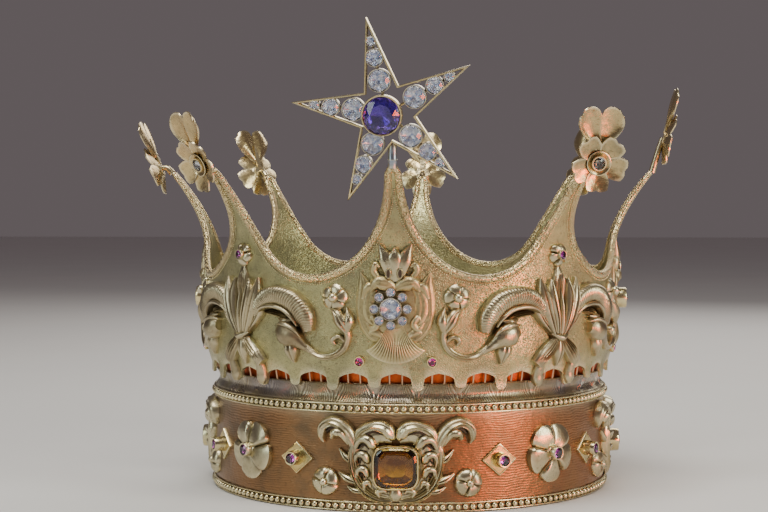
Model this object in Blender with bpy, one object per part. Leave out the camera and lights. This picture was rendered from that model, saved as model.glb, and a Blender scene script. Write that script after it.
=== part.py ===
"""A jewelled ceremonial crown of gilt metal: a circlet, a flared body with eight spires, and its ornament.

Lengths are metres and angles are radians unless a name says otherwise. Z points up, the origin is on
the crown's axis at the level of its foot, and the front (the spire that carries the star) faces -Y.
An angle round the crown is measured from the front, towards +X, which is the crown's own left.
A panel's own coordinates are the distance across it, the height and how far a point stands proud of it.
"""

import math

import bmesh
import bpy
from mathutils import Matrix, Vector

# The joint left between soldered pieces.
SOLDER_GAP = 0.0003

# Circlet and the rings above it.
BAND_RADIUS = 0.0846
BAND_WALL = 0.0014
BAND_HEIGHT = 0.0428
BEAD_WIRE_HEIGHT = 0.0044
BEAD_WIRE_PROUD = 0.0014
COLLAR_REVEAL = 0.0097
COLLAR_LAP = 0.0043
COLLAR_WAIST_DEPTH = 0.0018
COLLAR_WALL = 0.0010

# Flared body, measured on its outer face.
HEM_STEP = 0.0016
HEM_RADIUS = BAND_RADIUS + HEM_STEP
HEM_HEIGHT = BAND_HEIGHT + COLLAR_REVEAL
BODY_WALL = 0.0012
BODY_FLARE = 0.0023
FLARE_LENGTH = 0.0115
FLARE_HEIGHT = HEM_HEIGHT + FLARE_LENGTH
PANEL_LENGTH = 0.0287
ARC_HEIGHT = FLARE_HEIGHT + PANEL_LENGTH
ARC_RISE = 0.0385
SPIRE_COUNT = 8
SPIRE_TIP_LENGTH = 0.0038
SPIRE_TOP = ARC_HEIGHT + ARC_RISE + SPIRE_TIP_LENGTH
SPIRE_STRAIGHT = 0.0093
SPIRE_BEND_HEIGHT = ARC_HEIGHT + SPIRE_STRAIGHT
SPIRE_BEND = 0.0172
SPIRE_BEND_POWER = 1.7
SPIRE_TIP_HALF_WIDTH = 0.0020
RIM_WIDTH = 0.0034
RIM_PROUD = 0.0011
HEM_TONGUE_DROP = 0.0040
HEM_ARCH_RISE = 0.0018

# Ornament of the four jewelled panels.
GEM_RISE = 0.0158
GEM_HEIGHT = FLARE_HEIGHT + GEM_RISE
GEM_SHIFT = -0.0012
CARTOUCHE_RADIUS = 0.0136
CARTOUCHE_BORDER = 0.0034
CARTOUCHE_THICK = 0.0016
CLUSTER_CLEARANCE = 0.0010
CLUSTER_RADIUS = CARTOUCHE_RADIUS - CARTOUCHE_BORDER - abs(GEM_SHIFT) - CLUSTER_CLEARANCE
CLUSTER_CENTRE_RADIUS = CLUSTER_RADIUS / 2
CLUSTER_PROUD = 0.0046
EAR_DIP = 0.0009
EAR_TOP = GEM_HEIGHT + CARTOUCHE_RADIUS - EAR_DIP
TULIP_LAP = 0.0014
TULIP_LENGTH = 0.0122
TULIP_FOOT = GEM_HEIGHT + CARTOUCHE_RADIUS - TULIP_LAP
TULIP_TOP = TULIP_FOOT + TULIP_LENGTH
TULIP_HALF_WIDTH = 0.0061
FAN_CLEARANCE = 0.0004
FAN_MOUTH = 0.0031
FAN_APEX = GEM_HEIGHT - CLUSTER_RADIUS - FAN_CLEARANCE + FAN_MOUTH
FAN_LENGTH = 0.0157
FAN_SPREAD_DEG = 44
FAN_FOLDS = 4
COLLET_RADIUS = 0.0044
COLLET_PROUD = 0.0057
ROSETTE_RADIUS = 0.0052
ROSETTE_PROUD = 0.0030
ROSETTE_RISE = 0.0042
ROSETTE_HEIGHT = GEM_HEIGHT + ROSETTE_RISE
ROSETTE_DEG = 15.5

# Ornament of the four foliate panels.
SPRAY_FOOT_RISE = 0.0025
SPRAY_FOOT = FLARE_HEIGHT + SPRAY_FOOT_RISE
SPRAY_TOP_GAP = 0.0012
SPRAY_TOP = ARC_HEIGHT - SPRAY_TOP_GAP
SPRAY_REACH = 0.0500
SPRAY_THICK = 0.0034
SPIRE_ROSETTE_RADIUS = 0.0048
SPIRE_ROSETTE_PROUD = 0.0040
SPIRE_ROSETTE_RISE = 0.0085
SPIRE_ROSETTE_HEIGHT = SPRAY_TOP + SPIRE_ROSETTE_RISE

# Ornament of the circlet.
BAND_CARTOUCHE_HALF_WIDTH = 0.0170
BAND_CARTOUCHE_DOWN = 0.0130
BAND_FOOT_CLEARANCE = 0.0006
BAND_HEAD_CLEARANCE = 0.0032
BAND_CARTOUCHE_HEIGHT = BEAD_WIRE_HEIGHT + BAND_FOOT_CLEARANCE + BAND_CARTOUCHE_DOWN
BAND_CARTOUCHE_UP = BAND_HEIGHT - BEAD_WIRE_HEIGHT - BAND_HEAD_CLEARANCE - BAND_CARTOUCHE_HEIGHT
BAND_CARTOUCHE_THICK = 0.0026
BAND_EAR_REACH = 0.0305
CITRINE_WIDTH = 0.0148
CITRINE_PROUD = 0.0040
SIDE_STONE_WIDTH = 0.0072
SIDE_STONE_PROUD = 0.0066
COLLET_WALL = 0.0016
NOTCH_CLEARANCE = 0.0039
BAND_CARTOUCHE_NOTCH = CITRINE_WIDTH / 2 + SOLDER_GAP + COLLET_WALL + NOTCH_CLEARANCE
LOZENGE_HALF_DIAGONAL = 0.0066
LOZENGE_THICK = 0.0012
LOZENGE_DROP = 0.0014
LOZENGE_HEIGHT = BAND_HEIGHT / 2 - LOZENGE_DROP
LOZENGE_DEG = 28.0
STUD_RADIUS = 0.0027
STUD_PROUD = 0.0055
BAND_FLOWER_RADIUS = 0.0120
BAND_FLOWER_THICK = 0.0032
BAND_FLOWER_DROP = 0.0004
BAND_FLOWER_HEIGHT = BAND_HEIGHT / 2 - BAND_FLOWER_DROP
BUD_RADIUS = 0.0057
BUD_PROUD = 0.0034
BUD_CLEARANCE = 0.0015
BUD_HEIGHT = BEAD_WIRE_HEIGHT + BUD_CLEARANCE + BUD_RADIUS
BUD_DEG = 19.2

# Finials: flower and heart-shaped leaf. Each was bent by hand to its own lean.
FINIAL_LEAN_DEG = (15, 14, 16, 20, 22, 23, 25)
FINIAL_TURN_DEG = (-30, 0, 0, 0, 0, 0, 0)
FINIAL_LIFT = 0.0012
FINIAL_STAND_OFF = 0.0048
FLOWER_RADIUS = 0.0113
FLOWER_CUP = 0.0026
SHEET_THICK = 0.0010
HEART_HALF_WIDTH = 0.0096
HEART_FOOT = 0.0052
HEART_TOP = 0.0220
HEART_CLEFT = 0.0030
STEM_RADIUS = 0.0015
# The spire on the crown's left carries its finial on a stem this many times higher.
LONG_SPIRE = 2
LONG_STEM_RISE = 0.0126

# Star.
STAR_RADIUS = 0.0362
STAR_NOTCH_RADIUS = 0.0112
STAR_DEPTH = 0.0038
STAR_WALL = 0.0013
STAR_RISE = 0.0189
STAR_CENTRE_HEIGHT = SPIRE_TOP + STAR_RISE
STAR_STAND_OFF = 0.0023
STAR_SHIFT = -0.0020
STAR_TURN_DEG = 11
STAR_YAW_DEG = -4.0
STAR_PITCH_DEG = 8
STAR_STONE_RADIUS = 0.0072
STAR_STONE_PROUD = 0.0020
# Each arm's stones: distance from the middle and radius, as shares of the star's radius.
STAR_BRILLIANTS = ((0.355, 0.120), (0.596, 0.080), (0.768, 0.049))
PIN_RADIUS = 0.0017
PIN_CLEARANCE = 0.0011

# Fineness of the facets.
RING_STEPS = 36
HALF_ARC_STEPS = 6
STEPS_PER_TONGUE = 3

SPIRE_PITCH = math.tau / SPIRE_COUNT
QUARTER = math.tau / 4
SIDES = ("front", "left", "back", "right")
CORNERS = ("front_left", "back_left", "back_right", "front_right")


def body_radius(z):
    """Outer radius of the body's sheet at a height: a flare at the hem, then the spires' outward bend."""
    hem_share = min(1.0, max(0.0, (z - HEM_HEIGHT) / (FLARE_HEIGHT - HEM_HEIGHT)))
    bend_share = max(0.0, (z - SPIRE_BEND_HEIGHT) / (SPIRE_TOP - SPIRE_BEND_HEIGHT))
    bend = SPIRE_BEND * bend_share**SPIRE_BEND_POWER
    return HEM_RADIUS + BODY_FLARE * math.sin(hem_share * math.pi / 2) + bend


ARC_RADIUS = body_radius(ARC_HEIGHT)
HALF_PITCH_LENGTH = SPIRE_PITCH / 2 * ARC_RADIUS


def place(angle, radius, z):
    """The point at an angle from the front, a radius and a height."""
    return Vector((radius * math.sin(angle), -radius * math.cos(angle), z))


def on_body(angle):
    """A map from a panel's own coordinates to the outside of the body."""
    return lambda s, z, h: place(angle + s / ARC_RADIUS, body_radius(z) + SOLDER_GAP + h, z)


def on_band(angle):
    """A map from a panel's own coordinates to the outside of the circlet, clear of its flat facets."""
    return lambda s, z, h: place(angle + s / BAND_RADIUS, BAND_RADIUS + SOLDER_GAP + h, z)


def on_plane(origin, across, up):
    """A map from distances across, up and out of a flat plane to space."""
    normal = across.cross(up)
    return lambda s, z, h: origin + across * s + up * z + normal * h


def material(name, colour, roughness, metallic):
    """A Principled material, made once for each name."""
    made = bpy.data.materials.get(name)
    if made is None:
        made = bpy.data.materials.new(name)
        made.use_nodes = True
        shader = made.node_tree.nodes["Principled BSDF"]
        shader.inputs["Base Color"].default_value = (*colour, 1.0)
        shader.inputs["Roughness"].default_value = roughness
        shader.inputs["Metallic"].default_value = metallic
    return made


def gilt():
    return material("gilt", (0.72, 0.53, 0.24), 0.34, 1.0)


def pale_gilt():
    return material("pale_gilt", (0.74, 0.68, 0.44), 0.28, 1.0)


def steel():
    return material("steel", (0.35, 0.38, 0.44), 0.35, 1.0)


def brilliant():
    return material("brilliant", (0.82, 0.86, 0.95), 0.05, 0.0)


def violet_stone():
    return material("violet_stone", (0.16, 0.08, 0.50), 0.05, 0.0)


def citrine():
    return material("citrine", (0.72, 0.38, 0.04), 0.05, 0.0)


def solid(name, points, faces, finish):
    """An object made from points and faces, with coincident points joined and its faces pointing out."""
    mesh = bpy.data.meshes.new(name)
    mesh.from_pydata([tuple(p) for p in points], [], faces)
    shape = bmesh.new()
    shape.from_mesh(mesh)
    bmesh.ops.remove_doubles(shape, verts=shape.verts, dist=1e-6)
    bmesh.ops.recalc_face_normals(shape, faces=shape.faces)
    shape.to_mesh(mesh)
    shape.free()
    mesh.materials.append(finish)
    made = bpy.data.objects.new(name, mesh)
    bpy.context.scene.collection.objects.link(made)
    return made


def union(pieces):
    """One closed body from overlapping pieces. Its name and finish are the first piece's."""
    first, rest = pieces[0], pieces[1:]
    name = first.name
    joined = bmesh.new()
    for piece in rest:
        joined.from_mesh(piece.data)
    tool_mesh = bpy.data.meshes.new("union_tool")
    joined.to_mesh(tool_mesh)
    joined.free()
    tool = bpy.data.objects.new("union_tool", tool_mesh)
    bpy.context.scene.collection.objects.link(tool)
    boolean = first.modifiers.new("union", "BOOLEAN")
    boolean.operation = "UNION"
    boolean.object = tool
    boolean.use_self = True
    graph = bpy.context.evaluated_depsgraph_get()
    mesh = bpy.data.meshes.new_from_object(first.evaluated_get(graph))
    finish = first.data.materials[0]
    for piece in [*pieces, tool]:
        bpy.data.objects.remove(piece)
    mesh.materials.clear()
    mesh.materials.append(finish)
    made = bpy.data.objects.new(name, mesh)
    bpy.context.scene.collection.objects.link(made)
    return made


def band_of_faces(here, there, count, closed=True):
    """Quads between two rows of points that start at the given numbers."""
    return [
        [here + k, here + (k + 1) % count, there + (k + 1) % count, there + k]
        for k in range(count if closed else count - 1)
    ]


def swept_ring(name, sections, finish):
    """A closed ring from sections, each a list of as many points, that follow each other round."""
    count = len(sections[0])
    faces = []
    for k in range(len(sections)):
        faces += band_of_faces(k * count, (k + 1) % len(sections) * count, count)
    return solid(name, [point for section in sections for point in section], faces, finish)


def turned_ring(name, profile, finish):
    """A ring spun round the crown's axis from a closed profile of (radius, height)."""
    sections = [
        [place(math.tau * (step + 0.5) / RING_STEPS, radius, z) for radius, z in profile]
        for step in range(RING_STEPS)
    ]
    return swept_ring(name, sections, finish)


def lofted(name, to_space, centre, rings, top, finish):
    """A solid that rises through outlines of (across, up) points, each at its height, to a top point."""
    s0, z0 = centre
    count = len(rings[0][0])
    points = []
    faces = []
    for level, (outline, height) in enumerate(rings):
        points += [to_space(s0 + s, z0 + z, height) for s, z in outline]
        if level:
            faces += band_of_faces((level - 1) * count, level * count, count)
    last = (len(rings) - 1) * count
    points += [to_space(s0, z0, rings[0][1]), to_space(s0, z0, top)]
    for k in range(count):
        after = (k + 1) % count
        faces.append([k, after, len(points) - 2])
        faces.append([last + k, last + after, len(points) - 1])
    return solid(name, points, faces, finish)


def leaf(name, to_space, path, half_widths, crests, finish, base=0.0, closed=False):
    """A ridged leaf or scroll along a path on a panel, with three points to each station."""
    sections = []
    count = len(path)
    for k, (s, z) in enumerate(path):
        back = path[k - 1] if closed or k else path[0]
        ahead = path[(k + 1) % count] if closed or k < count - 1 else path[-1]
        along = (Vector(ahead) - Vector(back)).normalized()
        side_s, side_z = -along.y * half_widths[k], along.x * half_widths[k]
        sections.append(
            [
                to_space(s + side_s, z + side_z, base),
                to_space(s, z, base + crests[k]),
                to_space(s - side_s, z - side_z, base),
            ]
        )
    if closed:
        return swept_ring(name, sections, finish)
    faces = [[0, 1, 2], [3 * count - 1, 3 * count - 2, 3 * count - 3]]
    for k in range(count - 1):
        faces += band_of_faces(3 * k, 3 * k + 3, 3)
    return solid(name, [point for section in sections for point in section], faces, finish)


def round_outline(radius, sides):
    """A circle as (across, up) points."""
    angles = [math.tau * (k + 0.5) / sides for k in range(sides)]
    return [(radius * math.sin(a), radius * math.cos(a)) for a in angles]


def petal_outline(radius, petals, notch, steps=2):
    """A flower's outline: a notch, then the petal's rounded end, for each petal."""
    outline = []
    for k in range(petals * steps):
        angle = math.tau * (k - 0.5 * (steps - 1)) / (petals * steps)
        reach = radius * (notch if k % steps == 0 else 1.0)
        outline.append((reach * math.sin(angle), reach * math.cos(angle)))
    return outline


def diamond_outline(half):
    """A square standing on its corner, with a point at the middle of each side too."""
    corners = [(0.0, half), (half, 0.0), (0.0, -half), (-half, 0.0)]
    outline = []
    for k in range(4):
        (s0, z0), (s1, z1) = corners[k], corners[(k + 1) % 4]
        outline += [(s0, z0), ((s0 + s1) / 2, (z0 + z1) / 2)]
    return outline


def circlet():
    """The lower band, with its eight buds soldered on."""
    inner = BAND_RADIUS - BAND_WALL
    profile = [(inner, 0.0), (BAND_RADIUS, 0.0), (BAND_RADIUS, BAND_HEIGHT), (inner, BAND_HEIGHT)]
    pieces = [turned_ring("circlet", profile, gilt())]
    sunk = -2.2 * SOLDER_GAP
    for quarter in range(4):
        for side in (-1, 1):
            pieces.append(
                lofted(
                    "bud",
                    on_band(quarter * QUARTER + side * math.radians(BUD_DEG)),
                    (0.0, BUD_HEIGHT),
                    [
                        (round_outline(BUD_RADIUS, 6), sunk),
                        (round_outline(BUD_RADIUS * 0.6, 6), BUD_PROUD * 0.85),
                    ],
                    BUD_PROUD,
                    gilt(),
                )
            )
    return union(pieces)


def bead_wire(name, low):
    """One of the two beaded mouldings round the circlet."""
    inner = BAND_RADIUS + SOLDER_GAP
    middle = low + BEAD_WIRE_HEIGHT / 2
    turned_ring(
        name, [(inner, low), (inner + BEAD_WIRE_PROUD, middle), (inner, low + BEAD_WIRE_HEIGHT)], gilt()
    )


def engraved_collar():
    """The waisted collar between the circlet and the body. The body's hem hangs round its top."""
    foot = BAND_HEIGHT + SOLDER_GAP
    top = HEM_HEIGHT + COLLAR_LAP
    top_radius = body_radius(top) - BODY_WALL - SOLDER_GAP
    waist = BAND_RADIUS - COLLAR_WAIST_DEPTH
    middle = foot + 0.5 * (HEM_HEIGHT - foot)
    turned_ring(
        "engraved_collar",
        [
            (BAND_RADIUS - COLLAR_WALL, foot),
            (BAND_RADIUS, foot),
            (waist, middle),
            (top_radius, top),
            (top_radius - COLLAR_WALL, top),
            (waist - COLLAR_WALL, middle),
        ],
        pale_gilt(),
    )


def rim_edge(step):
    """Edge of a spire at a step up its half arc, as (across from the spire's middle, height)."""
    if step > HALF_ARC_STEPS:
        return SPIRE_TIP_HALF_WIDTH, SPIRE_TOP
    phi = math.pi / 2 * step / HALF_ARC_STEPS
    half_arc = HALF_PITCH_LENGTH - RIM_WIDTH
    return HALF_PITCH_LENGTH - half_arc * math.sin(phi), ARC_HEIGHT + ARC_RISE * (1 - math.cos(phi))


def rim_inside(step):
    """The rim's inner line: a rim's width in from the edge, and the spire's middle at its tip."""
    s, z = rim_edge(step)
    if step >= HALF_ARC_STEPS:
        return 0.0, z
    phi = math.pi / 2 * step / HALF_ARC_STEPS
    half_arc = HALF_PITCH_LENGTH - RIM_WIDTH
    inward = Vector((-ARC_RISE * math.sin(phi), -half_arc * math.cos(phi))).normalized()
    return s + RIM_WIDTH * inward.x, z + RIM_WIDTH * inward.y


def hem_height(step):
    """Lower edge of the body: pointed arches between hanging tongues."""
    return HEM_HEIGHT + HEM_ARCH_RISE if step % STEPS_PER_TONGUE == 0 else HEM_HEIGHT - HEM_TONGUE_DROP


def crown_body():
    """The flared sheet with its eight spires and the thick rim along their edges."""
    points, faces = [], []

    def add(angle, s, z, h):
        points.append(place(angle + s / ARC_RADIUS, body_radius(z) + h, z))
        return len(points) - 1

    def column(angle, side, step):
        """Point numbers of one column: the rim's edge, then front and back down to the hem."""
        edge_s, edge_z = rim_edge(step)
        in_s, in_z = rim_inside(step)
        crest_s, crest_z = (edge_s + in_s) / 2, (edge_z + in_z) / 2
        edge = add(angle, side * edge_s, edge_z, -BODY_WALL / 2)
        front = [add(angle, side * crest_s, crest_z, RIM_PROUD), add(angle, side * in_s, in_z, 0.0)]
        back = [add(angle, side * in_s, in_z, -BODY_WALL)]
        if step <= HALF_ARC_STEPS:
            # A column that ends below the bend needs no rows there, and its doubled points are joined.
            hem_s = HALF_PITCH_LENGTH * (1 - step / HALF_ARC_STEPS)
            shoulder = min(in_z, SPIRE_BEND_HEIGHT)
            for z in (shoulder + 0.35 * (in_z - shoulder), shoulder, FLARE_HEIGHT, hem_height(step)):
                share = min(1.0, (in_z - z) / (in_z - HEM_HEIGHT))
                s = side * (in_s + (hem_s - in_s) * share)
                front.append(add(angle, s, z, 0.0))
                back.append(add(angle, s, z, -BODY_WALL))
        return edge, front, back

    for spire in range(SPIRE_COUNT):
        caps = []
        for side in (-1, 1):
            columns = [column(spire * SPIRE_PITCH, side, step) for step in range(HALF_ARC_STEPS + 2)]
            for (e0, f0, b0), (e1, f1, b1) in zip(columns, columns[1:]):
                faces.append([e0, e1, f1[0], f0[0]])
                faces.append([e0, e1, b1[0], b0[0]])
                for low, high in ((f0, f1), (b0, b1)):
                    for k in range(min(len(low), len(high)) - 1):
                        faces.append([low[k], high[k], high[k + 1], low[k + 1]])
                if len(f1) > 2:
                    faces.append([f0[-1], f1[-1], b1[-1], b0[-1]])
            caps.append(columns[-1])
        (left_edge, left_front, left_back), (right_edge, right_front, _) = caps
        faces.append(
            [left_edge, left_front[0], left_front[1], right_front[0], right_edge, left_back[0]]
        )
    return solid("crown_body", points, faces, gilt())


def fan(to_space):
    """The fluted shell that opens downwards below a gem."""
    sections = []
    for k in range(FAN_FOLDS + 1):
        angle = math.radians(180 + FAN_SPREAD_DEG * (2 * k / FAN_FOLDS - 1))
        ridge = CARTOUCHE_THICK * (1.0 if k % 2 else 0.6)
        s, z = math.sin(angle), math.cos(angle)
        # The knee follows the body's bend, where the fan's outline crosses it.
        short, knee = FAN_MOUTH, min((FLARE_HEIGHT - FAN_APEX) / z, FAN_LENGTH * 0.95)
        profile = [
            (short, 0.0),
            (knee, 0.0),
            (FAN_LENGTH, 0.0),
            (FAN_LENGTH, ridge),
            (short, CARTOUCHE_THICK * 1.3),
        ]
        sections.append([to_space(reach * s, FAN_APEX + reach * z, height) for reach, height in profile])
    count = len(sections[0])
    last = count * FAN_FOLDS
    faces = [list(range(count)), [last + k for k in reversed(range(count))]]
    for k in range(FAN_FOLDS):
        faces += band_of_faces(count * k, count * k + count, count)
    return solid("fan", [point for section in sections for point in section], faces, gilt())


def cartouche():
    """The chased cartouche of a jewelled panel: a scrolled ring, a tulip above and a fluted fan below."""
    panel = on_body(0.0)
    middle = CARTOUCHE_RADIUS - CARTOUCHE_BORDER / 2
    steps = 10
    ring_path = [
        (middle * math.sin(math.tau * k / steps), GEM_HEIGHT + middle * math.cos(math.tau * k / steps))
        for k in range(steps)
    ]
    thick = CARTOUCHE_THICK
    half_widths = [CARTOUCHE_BORDER / 2] * steps
    ring = leaf("cartouche_front", panel, ring_path, half_widths, [thick] * steps, gilt(), closed=True)
    rise = TULIP_TOP - TULIP_FOOT
    tulip = leaf(
        "tulip",
        panel,
        [(0.0, TULIP_FOOT - 0.1 * rise), (0.0, TULIP_TOP)],
        [TULIP_HALF_WIDTH * 0.5, TULIP_HALF_WIDTH],
        [thick, thick * 1.8],
        gilt(),
        base=thick * 0.1,
    )
    ears = [
        leaf(
            "ear",
            panel,
            [(side * middle * 0.97, GEM_HEIGHT + 0.35 * middle), (side * CARTOUCHE_RADIUS * 0.78, EAR_TOP)],
            [CARTOUCHE_BORDER / 2, CARTOUCHE_BORDER / 8],
            [thick, thick * 0.5],
            gilt(),
            base=thick * (0.16 + 0.05 * side),
        )
        for side in (-1, 1)
    ]
    return union([ring, tulip, fan(on_body_lifted(thick * 0.06)), *ears])


def on_body_lifted(lift):
    """A map to the body's front panel, a little proud of it."""
    panel = on_body(0.0)
    return lambda s, z, h: panel(s, z, h + lift)


def gem_cluster():
    """The front panel's large brilliant in a ring of eight small ones, in joined collets."""
    lobed = petal_outline(CLUSTER_RADIUS, 8, 0.84)
    seat = petal_outline(CLUSTER_CENTRE_RADIUS, 8, 1.0)
    lofted(
        "gem_cluster_front",
        on_body(0.0),
        (GEM_SHIFT, GEM_HEIGHT),
        [(lobed, 0.0), (lobed, CLUSTER_PROUD * 0.75), (seat, CLUSTER_PROUD * 0.6), (seat, CLUSTER_PROUD)],
        CLUSTER_PROUD * 1.1,
        brilliant(),
    )


def gem_collet(name, quarter):
    """A single round stone in a tall collet, on a side or back panel."""
    outline = round_outline(COLLET_RADIUS, 8)
    lofted(
        name,
        on_body(quarter * QUARTER),
        (0.0, GEM_HEIGHT),
        [(outline, 0.0), (outline, COLLET_PROUD)],
        COLLET_PROUD * 1.12,
        brilliant(),
    )


def spray():
    """The lily spray of a foliate panel, with an acanthus leaf, a bulb, a drop and a scroll to each side."""
    panel = on_body(0.0)
    foot, top, thick = SPRAY_FOOT, SPRAY_TOP, SPRAY_THICK
    tall, wide = top - foot, SPRAY_REACH
    # Paths and half widths are shares of the spray's height and reach, and crests of its thickness.
    leaves = [
        # Outer lily leaf.
        ([(0.06, 0.0), (0.19, 1.0)], [0.060, 0.016], [1.1, 0.5]),
        # Acanthus leaf, arched outwards and down.
        (
            [(0.10, 0.32), (0.32, 0.62), (0.58, 0.54), (0.70, 0.18)],
            [0.044, 0.072, 0.076, 0.028],
            [0.8, 1.2, 1.3, 0.6],
        ),
        # Bulb under the acanthus, running out into the scroll and its lobed leaf.
        (
            [(0.06, 0.04), (0.38, 0.12), (0.56, -0.01), (0.80, -0.23), (1.00, 0.02), (0.97, 0.40)],
            [0.020, 0.040, 0.068, 0.030, 0.056, 0.024],
            [0.5, 0.7, 1.1, 0.7, 1.0, 0.6],
        ),
        # Basal leaf.
        ([(0.03, 0.02), (0.17, -0.32)], [0.048, 0.020], [0.9, 0.6]),
    ]
    pieces = [
        leaf(
            "spray_front_left",
            panel,
            [(0.0, foot - 0.12 * tall), (0.0, foot + 0.10 * tall), (0.0, top)],
            [wide * 0.052, wide * 0.080, wide * 0.020],
            [thick * 0.9, thick * 1.2, thick * 0.5],
            gilt(),
        )
    ]
    for side in (-1, 1):
        for number, (path, widths, crests) in enumerate(leaves):
            mirrored = [(side * s * wide, foot + z * tall) for s, z in path]
            half_widths = [wide * width for width in widths]
            # Each leaf starts at its own height, so that no two share a face.
            lift = thick * 0.03 * (2 * number + (side > 0) + 1)
            heights = [thick * crest for crest in crests]
            pieces.append(leaf("leaf", panel, mirrored, half_widths, heights, gilt(), base=lift))
    return union(pieces)


BAND_CARTOUCHE_ANGLES = (0, 27, 47, 78, 110, 142, 180, 218, 250, 282, 313, 333)


def squared_circle(half, power):
    """A circle or a square with rounded sides, sampled at the band cartouche's angles."""
    outline = []
    for degrees in BAND_CARTOUCHE_ANGLES:
        s, z = math.sin(math.radians(degrees)), math.cos(math.radians(degrees))
        reach = half / (abs(s) ** power + abs(z) ** power) ** (1 / power)
        outline.append((reach * s, reach * z))
    return outline


def scaled(outline, share):
    """An outline brought in towards its middle."""
    return [(s * share, z * share) for s, z in outline]


def scrolled_outline():
    """The band cartouche's edge: two scrolls that meet in a notch at the top, and a narrower foot."""
    outline = []
    for degrees in BAND_CARTOUCHE_ANGLES:
        s, z = math.sin(math.radians(degrees)), math.cos(math.radians(degrees))
        tall = BAND_CARTOUCHE_UP if z > 0 else BAND_CARTOUCHE_DOWN
        up = tall * math.copysign(abs(z) ** 0.6, z)
        if degrees == 0:
            up = BAND_CARTOUCHE_NOTCH
        outline.append((BAND_CARTOUCHE_HALF_WIDTH * math.copysign(abs(s) ** 0.8, s), up))
    return outline


def band_cartouche(name, angle, stone_width, power, proud):
    """The scrolled cartouche with ears round one of the circlet's four stones, and its open collet."""
    panel = on_band(angle)
    middle = BAND_CARTOUCHE_HEIGHT
    thick = BAND_CARTOUCHE_THICK
    inner = squared_circle(stone_width / 2 + SOLDER_GAP, power)
    outer = squared_circle(stone_width / 2 + SOLDER_GAP + COLLET_WALL, power)
    edge = scrolled_outline()
    sections = []
    for k in range(len(edge)):
        crest = ((edge[k][0] + outer[k][0]) / 2, (edge[k][1] + outer[k][1]) / 2)
        profile = [
            (inner[k], 0.0),
            (inner[k], proud),
            (outer[k], proud),
            (outer[k], thick * 0.5),
            (crest, thick),
            (edge[k], 0.0),
        ]
        sections.append([panel(s, middle + z, height) for (s, z), height in profile])
    pieces = [swept_ring(name, sections, pale_gilt())]
    reach, up = BAND_EAR_REACH, BAND_CARTOUCHE_UP
    for side in (-1, 1):
        path = [
            (side * BAND_CARTOUCHE_HALF_WIDTH * 0.75, middle + up * 0.45),
            (side * reach * 0.66, middle + up * 0.93),
            (side * reach * 0.93, middle + up * 0.86),
            (side * reach * 0.98, middle + up * 0.42),
        ]
        pieces.append(
            leaf(
                "ear",
                panel,
                path,
                [0.0030, 0.0028, 0.0026, 0.0006],
                [thick, thick * 1.1, thick * 1.1, thick * 0.5],
                pale_gilt(),
                base=thick * (0.1 + 0.03 * side),
            )
        )
    return union(pieces)


def band_stone(name, angle, stone_width, power, proud, finish):
    """A cut stone that stands in the open collet of a band cartouche."""
    outline = squared_circle(stone_width / 2, power)
    lofted(
        name,
        on_band(angle),
        (0.0, BAND_CARTOUCHE_HEIGHT),
        [(outline, 0.0), (outline, proud * 0.9), (scaled(outline, 0.62), proud * 1.15)],
        proud * 1.15,
        finish,
    )


def stud_rings():
    """The collet of a small round stone: its foot and its top, as an eight-sided outline."""
    outline = [
        (STUD_RADIUS * math.sin(math.tau * k / 8), STUD_RADIUS * math.cos(math.tau * k / 8)) for k in range(8)
    ]
    return outline, STUD_PROUD


def lozenge(name, angle):
    """A diamond-shaped plate with a round stone in a tall collet."""
    plate = diamond_outline(LOZENGE_HALF_DIAGONAL)
    stud, proud = stud_rings()
    lofted(
        name,
        on_band(angle),
        (0.0, LOZENGE_HEIGHT),
        [(plate, 0.0), (plate, LOZENGE_THICK), (stud, LOZENGE_THICK * 1.1), (stud, proud)],
        proud * 1.1,
        gilt(),
    )


def band_flower(name, angle):
    """The large five-petalled flower of the circlet, with a stone in a collet at its middle."""
    lofted(
        name,
        on_band(angle),
        (0.0, BAND_FLOWER_HEIGHT),
        [
            (petal_outline(BAND_FLOWER_RADIUS, 5, 0.72), 0.0),
            (petal_outline(BAND_FLOWER_RADIUS * 0.62, 5, 0.75), BAND_FLOWER_THICK),
            (petal_outline(STUD_RADIUS, 5, 1.0), BAND_FLOWER_THICK * 0.5),
            (petal_outline(STUD_RADIUS, 5, 1.0), STUD_PROUD),
        ],
        STUD_PROUD * 1.1,
        gilt(),
    )


def rosette(name, angle, height, petals, radius, proud):
    """A small domed flower on the body."""
    lofted(
        name,
        on_body(angle),
        (0.0, height),
        [
            (petal_outline(radius, petals, 0.72), 0.0),
            (petal_outline(radius * 0.6, petals, 0.8), proud * 0.75),
        ],
        proud,
        gilt(),
    )


def heart(to_space):
    """The heart-shaped leaf of a finial: a thin sheet, grooved down its middle."""
    rise = HEART_TOP - HEART_FOOT
    stations = ((0.0, 0.3), (0.5, 0.9), (0.82, 1.0), (1.0, 0.55))
    sections = []
    for share, width in stations:
        z = HEART_FOOT + rise * share
        cleft = HEART_CLEFT if share == 1.0 else 0.0
        half = HEART_HALF_WIDTH * width
        sections.append(
            [
                to_space(-half, z, SHEET_THICK * 0.9),
                to_space(0.0, z - cleft, SHEET_THICK * 0.6),
                to_space(half, z, SHEET_THICK * 0.9),
                to_space(0.0, z - cleft, -SHEET_THICK * 0.5),
            ]
        )
    last = 4 * (len(stations) - 1)
    faces = [[0, 1, 2, 3], [last + 3, last + 2, last + 1, last]]
    for k in range(len(stations) - 1):
        faces += band_of_faces(4 * k, 4 * k + 4, 4)
    return solid("heart", [point for section in sections for point in section], faces, gilt())


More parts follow.
